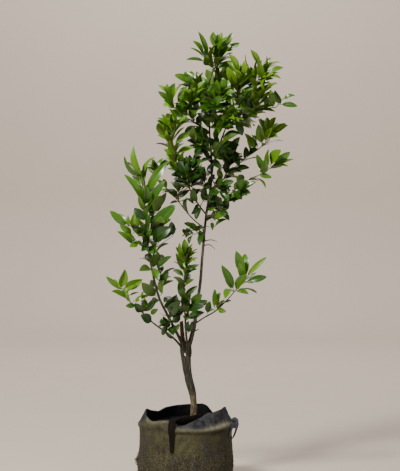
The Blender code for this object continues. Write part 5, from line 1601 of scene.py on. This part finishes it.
sprayTones = {  # the tones of the low and the high half of a shoot, where they aren't left to luck
    "right_shoot_tip": (0, 0), "right_shoot_leaves": (0, 0), "left_bough_top": (2, 2),
    "left_bough_right": (2, 2), "left_bough_upper": (0, 1), "middle_rosette": (0, 1),
    # mid_right_shoot takes the palest tone throughout: painted light, for the bright light on that side of
    # the crown
    "low_right_shoot": (0, 1), "mid_right_shoot": (2, 2), "top_rosette": (0, 1),
    "low_left_shoot": (1, 1), "low_left_leaves": (0, 0), "far_right_shoot": (0, 1),
}
leafShape = {
    "stations": (0.0, 0.07, 0.22, 0.40, 0.58, 0.75, 0.90, 1.0),
    "widths": (0.05, 0.36, 0.80, 1.0, 0.97, 0.77, 0.42, 0.0),
    "columns": (-1.0, -0.52, -0.02, 0.02, 0.52, 1.0),
    "width": {"young": 0.40, "mid": 0.44, "old": 0.53, "light": 0.40},
    "arch": 0.095,
    "fold": 0.74,
    "wave": 0.10,
    "ribWidth": 0.012,
    "thickness": 0.0006,
    # how much leaves differ from each other
    "vary": {
        "width": (0.84, 1.10), "arch": (0.3, 1.6), "fold": (0.35, 1.35), "wave": (0.3, 1.3),
        "sickle": (-0.045, 0.045), "twist": (-0.55, 0.55), "phase": (0, 2 * math.pi),
    },
}


def turned(vector, axis, angle):
    return Quaternion(axis, angle) @ vector


def leafFace(direction, axis, luck, kept, lone=False):
    # the way a leaf looks: mostly to the light, partly to its own shoot, and never quite the same
    stray = Vector((luck.uniform(-1, 1), luck.uniform(-1, 1), luck.uniform(-1, 1)))
    kind = 0 if kept else 1
    face = growth["light"].normalized() + axis * growth["toAxis"][kind] + stray * growth["stray"][kind]
    if lone:
        face = growth["loneFace"] + stray * growth["loneStray"]
    face -= direction * face.dot(direction)
    return face.normalized()


def leafPoints(root, tip, face, luck, age, wide=None):
    # the rows of points of one leaf: folded up along its midrib, arched, and wavy at its edges
    along = tip - root
    length = along.length
    along.normalize()
    side = along.cross(face).normalized()
    up = side.cross(along)
    vary = {name: luck.uniform(*ends) for name, ends in leafShape["vary"].items()}
    half = leafShape["width"][age] * length / 2 * vary["width"]
    if wide:
        half = wide * growth["loneWider"] / 2
    arch = leafShape["arch"] * length * vary["arch"]
    fold = leafShape["fold"] * vary["fold"]
    wave = leafShape["wave"] * half * vary["wave"]
    sickle = length * vary["sickle"]
    rows, under = [], []
    last = len(leafShape["stations"]) - 1
    for k, (share, wide) in enumerate(zip(leafShape["stations"], leafShape["widths"])):
        bow = 4 * share * (1 - share)
        centre = root + along * (share * length) + up * (arch * bow) + side * (sickle * bow)
        turn = vary["twist"] * share
        flat = side * math.cos(turn) + up * math.sin(turn)
        high = up * math.cos(turn) - side * math.sin(turn)
        if k == last:
            rows.append([centre])
            under.append(centre)
            break
        row = []
        rib = leafShape["ribWidth"] * length * (1 - 0.75 * share)
        for column in leafShape["columns"]:
            x = column * half * wide
            if abs(column) < 0.1:
                x = math.copysign(rib / 2, column)
            edge = abs(column) ** 2
            ripple = wave * edge * wide * math.sin(6.5 * share + vary["phase"] + (2.1 if column > 0 else 0))
            lift = fold * abs(x) * (1 - 0.35 * edge) + ripple
            if abs(column) < 0.1:
                lift = -0.0002
            row.append(centre + flat * x + high * lift)
        rows.append(row)
        under.append(centre - high * (leafShape["thickness"] + rib * 0.55))
    return rows, under


def leafFaces(start):
    # faces of one leaf whose points begin at start, each with what it is: blade, rib or underside
    columns = len(leafShape["columns"])
    rows = len(leafShape["stations"]) - 1
    tip = start + rows * columns
    low = tip + 1
    faces, kinds = [], []
    for k in range(rows):
        for n in range(columns - 1):
            a = start + k * columns + n
            if k < rows - 1:
                faces.append((a, a + 1, a + 1 + columns, a + columns))
            else:
                faces.append((a, a + 1, tip))
            kinds.append("rib" if n == 2 else "blade")
        left, right = start + k * columns, start + (k + 1) * columns - 1
        if k < rows - 1:
            faces.append((low + k, left, left + columns, low + k + 1))
            faces.append((right, low + k, low + k + 1, right + columns))
        else:
            faces.append((low + k, left, tip))
            faces.append((right, low + k, tip))
        kinds.extend(("under", "under"))
    faces.append((low, *range(start + columns - 1, start - 1, -1)))
    kinds.append("under")
    return faces, kinds


class Room:
    # what is taken already, as small balls kept by the cell of a grid that they lie in
    def __init__(self, cell):
        self.cell = cell
        self.balls = {}

    def cellOf(self, place):
        return tuple(math.floor(value / self.cell) for value in place)

    def isFree(self, balls):
        for place, radius in balls:
            x, y, z = self.cellOf(place)
            for a, b, c in product((-1, 0, 1), repeat=3):
                for other, size in self.balls.get((x + a, y + b, z + c), ()):
                    if (place - other).length < radius + size:
                        return False
        return True

    def add(self, balls):
        for place, radius in balls:
            self.balls.setdefault(self.cellOf(place), []).append((place, radius))


def leafBalls(root, tip, face):
    along = tip - root
    side = along.cross(face).normalized() * (0.13 * along.length)
    size = growth["room"] * along.length
    found = []
    for share in (0.34, 0.58, 0.82):
        for shift in (-1, 0, 1):
            narrow = 1.0 if share < 0.7 else 0.55
            found.append((root + along * share + side * (shift * narrow), size))
    return found


class Crown:
    # everything that grows: leaves by age, and the wood of stems, twigs and leaf stalks
    def __init__(self):
        self.room = Room(0.014)
        self.leaves = {age: [] for age in ("young", "mid", "old", "light")}
        self.sticks = []

    def stick(self, line, radii, sides, green):
        self.sticks.append((line, radii, sides, green))

    def leaf(self, age, tone, foot, tip, axis, luck, kept, wide=None):
        # a leaf on its stalk from foot to tip; kept ones stay where they are, others need free room
        way = (tip - foot).normalized()
        reach = (tip - foot).length
        root = foot + way * (reach * (growth["lonePetiole"] if wide else growth["petiole"]))
        face = leafFace(way, axis, luck, kept, wide is not None)
        balls = leafBalls(root, tip, face)
        if not kept:
            if not self.room.isFree(balls):
                return False
            for place, _ in balls:
                _, radius, distance = nearestLimb(place)
                if distance < radius + growth["clearOfWood"]:
                    return False
        self.room.add(balls)
        self.leaves[age].append((tone, *leafPoints(root, tip, face, luck, age, wide)))
        sag = foot.lerp(root, 0.5) + axis * (reach * 0.012)
        thick, thin = growth["petioleRadii"]
        self.stick([foot, sag, root + way * 0.0008], [thick, thick, thin], 5, 1)
        return True


def taper(ends, count):
    first, last = ends
    return [first + (last - first) * k / (count - 1) for k in range(count)]


class Shoot:
    # one stem of a foliage mass, with the rules by which twigs and leaves grow on it
    def __init__(self, name, spec, crown, reach):
        self.spec = spec
        self.crown = crown
        self.luck = random.Random(spec["seed"])
        self.line = smoothLine([Vector(point) for point in spec["stem"]], 4)
        low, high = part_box(name)
        margin = Vector((1, 1, 1)) * reach
        self.low, self.high = low - margin, high + margin
        self.tones = sprayTones.get(name) or sorted(self.luck.choices((0, 1, 2), weights=(2, 3, 2), k=2))

    def at(self, share, line=None):
        line = line or self.line
        return curveAt(line, share * (len(line) - 1))

    def heading(self, share, line=None):
        ends = self.at(min(share + 0.05, 1), line) - self.at(max(share - 0.05, 0), line)
        return ends.normalized()

    def toneAt(self, share):
        return self.tones[0] if share < 0.55 else self.tones[1]

    def ageAt(self, share):
        # the leaves at a young shoot's foot are a year older than those at its end
        age = self.spec["age"]
        return growth["older"][age] if share < growth["olderBelow"] else age

    def inside(self, place):
        return all(a <= b <= c for a, b, c in zip(self.low, place, self.high))

    def grow(self):
        self.crown.stick(self.line, taper(growth["stemRadii"], len(self.line)), 7, 0)
        self.outline()

    def outline(self):
        # a leaf to each tip, each from the free place on the stem that suits it best
        places = [k / 20 for k in range(1, 20)]
        for point in self.spec["tips"]:
            tip = Vector(point)
            share = min(places, key=lambda place: self.awkwardness(place, tip))
            places.remove(share)
            foot, axis = self.at(share), self.heading(share)
            way = tip - foot
            longest = self.spec["leaf"] * growth["longest"] / (1 - growth["petiole"])
            if way.length > longest:
                bend = foot + way * (1 - longest / way.length)
                middle = foot.lerp(bend, 0.5) + axis * (way.length * 0.05)
                self.twig([foot, middle, bend], share, 1 + int((way.length - longest) / 0.018))
                foot, axis = bend, (bend - middle).normalized()
            self.crown.leaf(self.spec["age"], self.toneAt(share), foot, tip, axis, self.luck, True)

    def awkwardness(self, share, tip):
        reach = tip - self.at(share)
        lean = self.heading(share).angle(reach)
        return abs(reach.length / self.spec["leaf"] - 1) * 2 + abs(lean - math.radians(50 - 20 * share))

    def twig(self, line, share, leaves):
        line = smoothLine(line, 3)
        self.crown.stick(line, taper(growth["twigRadii"], len(line)), 6, 1)
        self.fill(leaves, self.spec["leaf"] * 0.85, line, 0.35, self.toneAt(share))

    def fill(self, count, size, line=None, start=0.12, tone=None):
        # leaves all round a stem, each turned on from the last, closing up towards its end
        luck = self.luck
        turn = luck.uniform(0, 2 * math.pi)
        for k in range(count):
            share = start + (1 - start) * (k + 0.5) / count
            for attempt in range(growth["tries"]):
                place = min(max(share + luck.uniform(-0.02, 0.02) * attempt, start), 0.99)
                axis = self.heading(place, line)
                turn += growth["turn"] + luck.uniform(-0.35, 0.35)
                first, loss, stray = growth["lean"]
                lean = math.radians(first - loss * place + luck.uniform(-stray, stray) - attempt)
                out = turned(across(axis), axis, turn)
                way = axis * math.cos(lean) + out * math.sin(lean) + Vector((0, 0, 0.16))
                length = size * luck.uniform(0.74, 1.04) * (1 - 0.02 * attempt)
                foot = self.at(place, line)
                tip = foot + way.normalized() * length / (1 - growth["petiole"])
                shade = self.toneAt(place) if tone is None else tone
                age = self.ageAt(place) if line is None else self.spec["age"]
                if self.inside(tip) and self.crown.leaf(age, shade, foot, tip, axis, luck, False):
                    break

    def fillAll(self):
        luck, spec = self.luck, self.spec
        if not spec["tips"]:
            self.fill(spec["fill"], spec["leaf"], start=0.0)
            return
        turn = luck.uniform(0, 2 * math.pi)
        count = spec["twigs"] + growth["extraTwigs"]
        for k in range(count):
            share = growth["twigFirst"] + growth["twigSpan"] * (k + 0.5) / count
            foot, axis = self.at(share), self.heading(share)
            for _ in range(growth["tries"]):
                turn += growth["turn"] + luck.uniform(-0.3, 0.3)
                out = turned(across(axis), axis, turn)
                way = (axis * 0.65 + out * 0.75 + Vector((0, 0, 0.25))).normalized()
                end = foot + way * growth["twigLength"] * luck.uniform(0.7, 1.1)
                if self.inside(end + way * spec["leaf"] * 0.4):
                    self.twig([foot, foot.lerp(end, 0.5) + out * 0.002, end], share, growth["twigLeaves"])
                    break
        self.fill(round(spec["fill"] * growth["fillShare"]), spec["leaf"])
        self.rosette()

    def rosette(self):
        # the youngest leaves, small and upright round the shoot's end
        luck = self.luck
        axis = self.heading(1.0)
        turn = luck.uniform(0, 2 * math.pi)
        for k in range(growth["rosette"]):
            turn += growth["turn"]
            first, gain, stray = growth["rosetteLean"]
            lean = math.radians(first + gain * k + luck.uniform(-stray, stray))
            out = turned(across(axis), axis, turn)
            way = (axis * math.cos(lean) + out * math.sin(lean)).normalized()
            length = self.spec["leaf"] * growth["rosetteSize"] * luck.uniform(0.7, 1.1)
            foot = self.at(0.97)
            tip = foot + way * length
            if self.inside(tip):
                self.crown.leaf(self.spec["age"], self.tones[1], foot, tip, axis, luck, k < 2)


def frontStep(depth):
    return (depth - frontView["eye"][1]) / frontView["steps"]


def fromFront(column, row, depth):
    # the place that a column and a row of the front view mark at some depth
    middle, level = frontView["middle"]
    x, _, z = frontView["eye"]
    step = frontStep(depth)
    return Vector((x + (column - middle) * step, depth, z - (row - level) * step))


def woodPlaces():
    # places all along the limbs and stems
    lines = [spec["route"] for spec in limbs.values()] + [spec["stem"] for spec in masses.values()]
    pairs = [pair for line in lines for pair in zip(line, line[1:])]
    return [Vector(a).lerp(Vector(b), k / 8) for a, b in pairs for k in range(9)]


def depthBehind(column, row, wood):
    # the depth of the wood that looks nearest from the front
    def offset(place):
        spot = fromFront(column, row, place.y)
        return (spot - place).length / frontStep(place.y)

    return min(wood, key=offset).y


def nearestWood(foot, shoots):
    # the middle of the limb or stem that a foot stands on
    spots = [nearestLimb(foot)[0]]
    spots.extend(min(grown.line, key=lambda place: (place - foot).length) for grown in shoots)
    return min(spots, key=lambda place: (place - foot).length)


def growCrown():
    crown = Crown()
    shoots = [Shoot(name, spec, crown, growth["reach"]) for name, spec in masses.items()]
    for grown in shoots:
        grown.grow()
    luck = random.Random(growth["loneSeed"])
    places = woodPlaces()
    for age, tone, wide, foot, tip, back in loneLeaves:
        depth = depthBehind(*foot, places)
        foot, tip = fromFront(*foot, depth), fromFront(*tip, depth + back / 1000)
        wood = nearestWood(foot, shoots)
        if (wood - foot).length < growth["woodNear"]:
            foot = wood
        else:
            stalk = [wood, wood.lerp(foot, 0.5) - Vector((0, 0, 0.001)), foot]
            crown.stick(stalk, [*growth["stalkRadii"], growth["petioleRadii"][0]], 5, 1)
        crown.leaf(age, tone, foot, tip, Vector((0, 0, 1)), luck, True, wide * frontStep(depth))
    for grown in shoots:
        grown.fillAll()
    for seed, (name, first, last, count, size, age) in enumerate(limbLeaves):
        line = limbLine(limbs[name])[0]
        stem = [curveAt(line, (len(line) - 1) * (first + (last - first) * k / 5)) for k in range(6)]
        spec = {"stem": stem, "age": age, "leaf": size, "seed": 900 + seed}
        Shoot(name, spec, crown, size).fill(count, size, start=0.0)
    return crown


crown = growCrown()
print("crown grown:", sum(len(leaves) for leaves in crown.leaves.values()), "leaves")


# leaf colours: for each age three tones of the blade, the rib and the paler underside

leafTones = {
    "young": [
        (0.048, 0.136, 0.001), (0.082, 0.198, 0.001), (0.128, 0.262, 0.002),
        (0.130, 0.235, 0.018), (0.090, 0.158, 0.012),
    ],
    "mid": [
        (0.028, 0.100, 0.001), (0.052, 0.152, 0.001), (0.086, 0.216, 0.001),
        (0.105, 0.205, 0.012), (0.088, 0.160, 0.012),
    ],
    "old": [
        (0.011, 0.045, 0.002), (0.021, 0.072, 0.002), (0.047, 0.096, 0.006),
        (0.066, 0.138, 0.012), (0.064, 0.120, 0.015),
    ],
    "light": [
        (0.060, 0.165, 0.001), (0.120, 0.270, 0.003), (0.200, 0.370, 0.006),
        (0.230, 0.370, 0.040), (0.160, 0.255, 0.020),
    ],
}


def leafMaterial(name, tone, roughness, coat):
    made, tree, shader = newMaterial(
        name,
        {
            "Base Color": colour(*tone), "Roughness": roughness, "Specular IOR Level": 0.40,
            "Coat Weight": coat, "Coat Roughness": 0.2,
        },
    )
    normal = relief(tree, 900, 260, 0.0003, share=0.55, strength=0.35)
    cloudy = grain(tree, 70, 0.3, 0.7)
    feed(
        tree, shader, Normal=normal,
        Roughness=timesPlus(tree, cloudy, 0.12, roughness - 0.06),
    )
    return made


def makeLeaves(age):
    points, faces, picks = [], [], []
    slots = {"rib": 3, "under": 4}
    for tone, rows, under in crown.leaves[age]:
        sides, kinds = leafFaces(len(points))
        points.extend(point for row in rows for point in row)
        points.extend(under[:-1])
        faces.extend(sides)
        picks.extend(slots.get(kind, tone) for kind in kinds)
    tones = leafTones[age]
    materials = [leafMaterial(f"{age}Leaf{n}", tones[n], 0.36, 0.26) for n in range(3)]
    materials.append(leafMaterial(f"{age}LeafRib", tones[3], 0.45, 0.0))
    materials.append(leafMaterial(f"{age}LeafUnder", tones[4], 0.55, 0.0))
    made = meshFrom(age + "Leaves", points, faces, materials, picks)
    smoothBy(made, 62)
    return made


leafPieces = {age: makeLeaves(age) for age in crown.leaves}
for age, piece in leafPieces.items():
    print(" ", age, len(crown.leaves[age]), "leaves,", len(piece.data.polygons), "faces")


def makeTwigs():
    # stems, twigs and leaf stalks, brown where they are stems and green where they are young
    shapes, picks = [], []
    for line, radii, sides, green in crown.sticks:
        rings = []
        side = across(line[1] - line[0])
        for k, centre in enumerate(line):
            ahead = (line[min(k + 1, len(line) - 1)] - line[max(k - 1, 0)]).normalized()
            side = (side - ahead * side.dot(ahead)).normalized()
            up = ahead.cross(side)
            turns = [2 * math.pi * n / sides for n in range(sides)]
            rings.append([
                centre + (side * math.cos(turn) + up * math.sin(turn)) * radii[k] for turn in turns
            ])
        points = [point for ring in rings for point in ring]
        faces = [tuple(reversed(range(sides)))]
        for level in range(len(rings) - 1):
            for n in range(sides):
                a, b = level * sides + n, level * sides + (n + 1) % sides
                faces.append((a, b, b + sides, a + sides))
        faces.append(tuple(range(len(points) - sides, len(points))))
        shapes.append((points, faces))
        picks.extend([green] * len(faces))
    materials = [
        twigMaterial("brownTwig", (0.050, 0.046, 0.024), (0.095, 0.088, 0.045)),
        twigMaterial("greenTwig", (0.045, 0.085, 0.018), (0.080, 0.140, 0.030)),
    ]
    made = meshFrom("twigs", *gather(shapes), materials, picks)
    smoothBy(made, 50)
    return made


def twigMaterial(name, dark, light):
    made, tree, shader = newMaterial(name, {"Roughness": 0.6})
    patches = grain(tree, 160, 0.35, 0.65, stretch=(1, 1, 0.4))
    normal = relief(tree, 1200, 500, 0.0003)
    base = mixColour(tree, patches, colour(*dark), colour(*light))
    feed(tree, shader, Base_Color=base, Normal=normal)
    return made


twigs = makeTwigs()
print("twigs made:", len(twigs.data.polygons), "faces")


# what each piece stands for

for piece in (growBag, bagCrumbs, tornFelt, frontStrap, handleLoop, handleStitches, rootBallSoil,
              soilCrumbs, barkWood, prunedStub, twigs, *leafPieces.values()):
    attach(piece, "root")
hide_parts("grow_bag")
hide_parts("soil")
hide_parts("front_strap")
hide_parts("handle")
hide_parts(*(name for name in limbs if name != "pruned_stub"))
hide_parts("pruned_stub")
for age, piece in leafPieces.items():
    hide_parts(*(name for name, spec in masses.items() if spec["age"] == age))


# floor, light and camera

studio = {
    "floor": colour(0.648, 0.565, 0.484),
    "wide": 26,
    "frontAt": -14,
    "backAt": 5.4,  # beyond where a view from behind is taken
    "bendRadius": 1.2,
    "bendSteps": 16,
    "wallHeight": 6,
    "lamps": [  # name, place, what it looks at, size, power and tint
        ("keyLight", (-1.7, -2.3, 3.0), (0, 0, 0.8), 0.7, 185, (1.0, 0.965, 0.91)),
        ("fillLight", (2.6, -2.2, 1.6), (0, 0, 0.7), 2.4, 16, (0.92, 0.95, 1.0)),
        ("wallLight", (0, 3.0, 5.6), (0, 6.6, 1.0), 3.0, 230, (1.0, 0.97, 0.94)),
    ],
    "world": (0.84, 0.82, 0.79),
    "worldStrength": 0.42,
}


def makeFloor():
    # a pale floor that bends up into a plain backdrop
    bpy.ops.object.select_all(action="DESELECT")
    bpy.ops.mesh.primitive_plane_add(size=1, location=(0, 0, 0))
    floor = bpy.context.object
    floor.name = floor.data.name = "paleFloor"
    for vertex in floor.data.vertices:
        vertex.co = Vector((
            vertex.co.x * studio["wide"], studio["frontAt" if vertex.co.y < 0 else "backAt"], 0
        ))
    bpy.ops.object.mode_set(mode="EDIT")
    bpy.ops.mesh.select_mode(type="EDGE")
    bpy.ops.mesh.select_all(action="DESELECT")
    endEdit()
    for edge in floor.data.edges:
        ends = [floor.data.vertices[k].co for k in edge.vertices]
        edge.select = all(end.y > 0 for end in ends)
    bpy.ops.object.mode_set(mode="EDIT")
    steps = studio["bendSteps"]
    for k in range(steps):
        before, after = (math.pi / 2 * n / steps for n in (k, k + 1))
        move = Vector((0, math.sin(after) - math.sin(before), math.cos(before) - math.cos(after)))
        bpy.ops.mesh.extrude_region_move(TRANSFORM_OT_translate={"value": move * studio["bendRadius"]})
    bpy.ops.mesh.extrude_region_move(TRANSFORM_OT_translate={"value": (0, 0, studio["wallHeight"])})
    bpy.ops.mesh.select_all(action="SELECT")
    bpy.ops.mesh.normals_make_consistent(inside=False)
    endEdit()
    made, tree, shader = newMaterial("paleFloor", {"Roughness": 0.9})
    cloudy = grain(tree, 2.5, 0.2, 0.8, 3)
    paler = colour(*(value * 1.03 for value in studio["floor"][:3]))
    feed(tree, shader, Base_Color=mixColour(tree, cloudy, studio["floor"], paler))
    floor.data.materials.append(made)
    floor.data.shade_smooth()


def addLight(name, place, aim, size, power, tint):
    light = bpy.data.lights.new(name, "AREA")
    light.shape = "DISK"
    light.size = size
    light.energy = power
    light.color = tint
    lamp = bpy.data.objects.new(name, light)
    bpy.context.scene.collection.objects.link(lamp)
    lamp.location = place
    lamp.rotation_euler = (Vector(aim) - Vector(place)).to_track_quat("-Z", "Y").to_euler()


makeFloor()
for lamp in studio["lamps"]:
    addLight(*lamp)
world = bpy.data.worlds.new("softRoom")
world.use_nodes = True
world.node_tree.nodes["Background"].inputs["Color"].default_value = (*studio["world"], 1)
world.node_tree.nodes["Background"].inputs["Strength"].default_value = studio["worldStrength"]
bpy.context.scene.world = world

view = {
    "place": (0.0455, -3.8, 0.8028),
    "steps": 1187.5,  # rows to a metre, one metre from the camera
    "rows": 471,
}
camera = bpy.data.cameras.new("camera")
camera.sensor_width = 36
camera.lens = camera.sensor_width * view["steps"] / view["rows"]
eye = bpy.data.objects.new("camera", camera)
bpy.context.scene.collection.objects.link(eye)
eye.location = view["place"]
eye.rotation_euler = (math.radians(90), 0, 0)
bpy.context.scene.camera = eye
print("stage set")
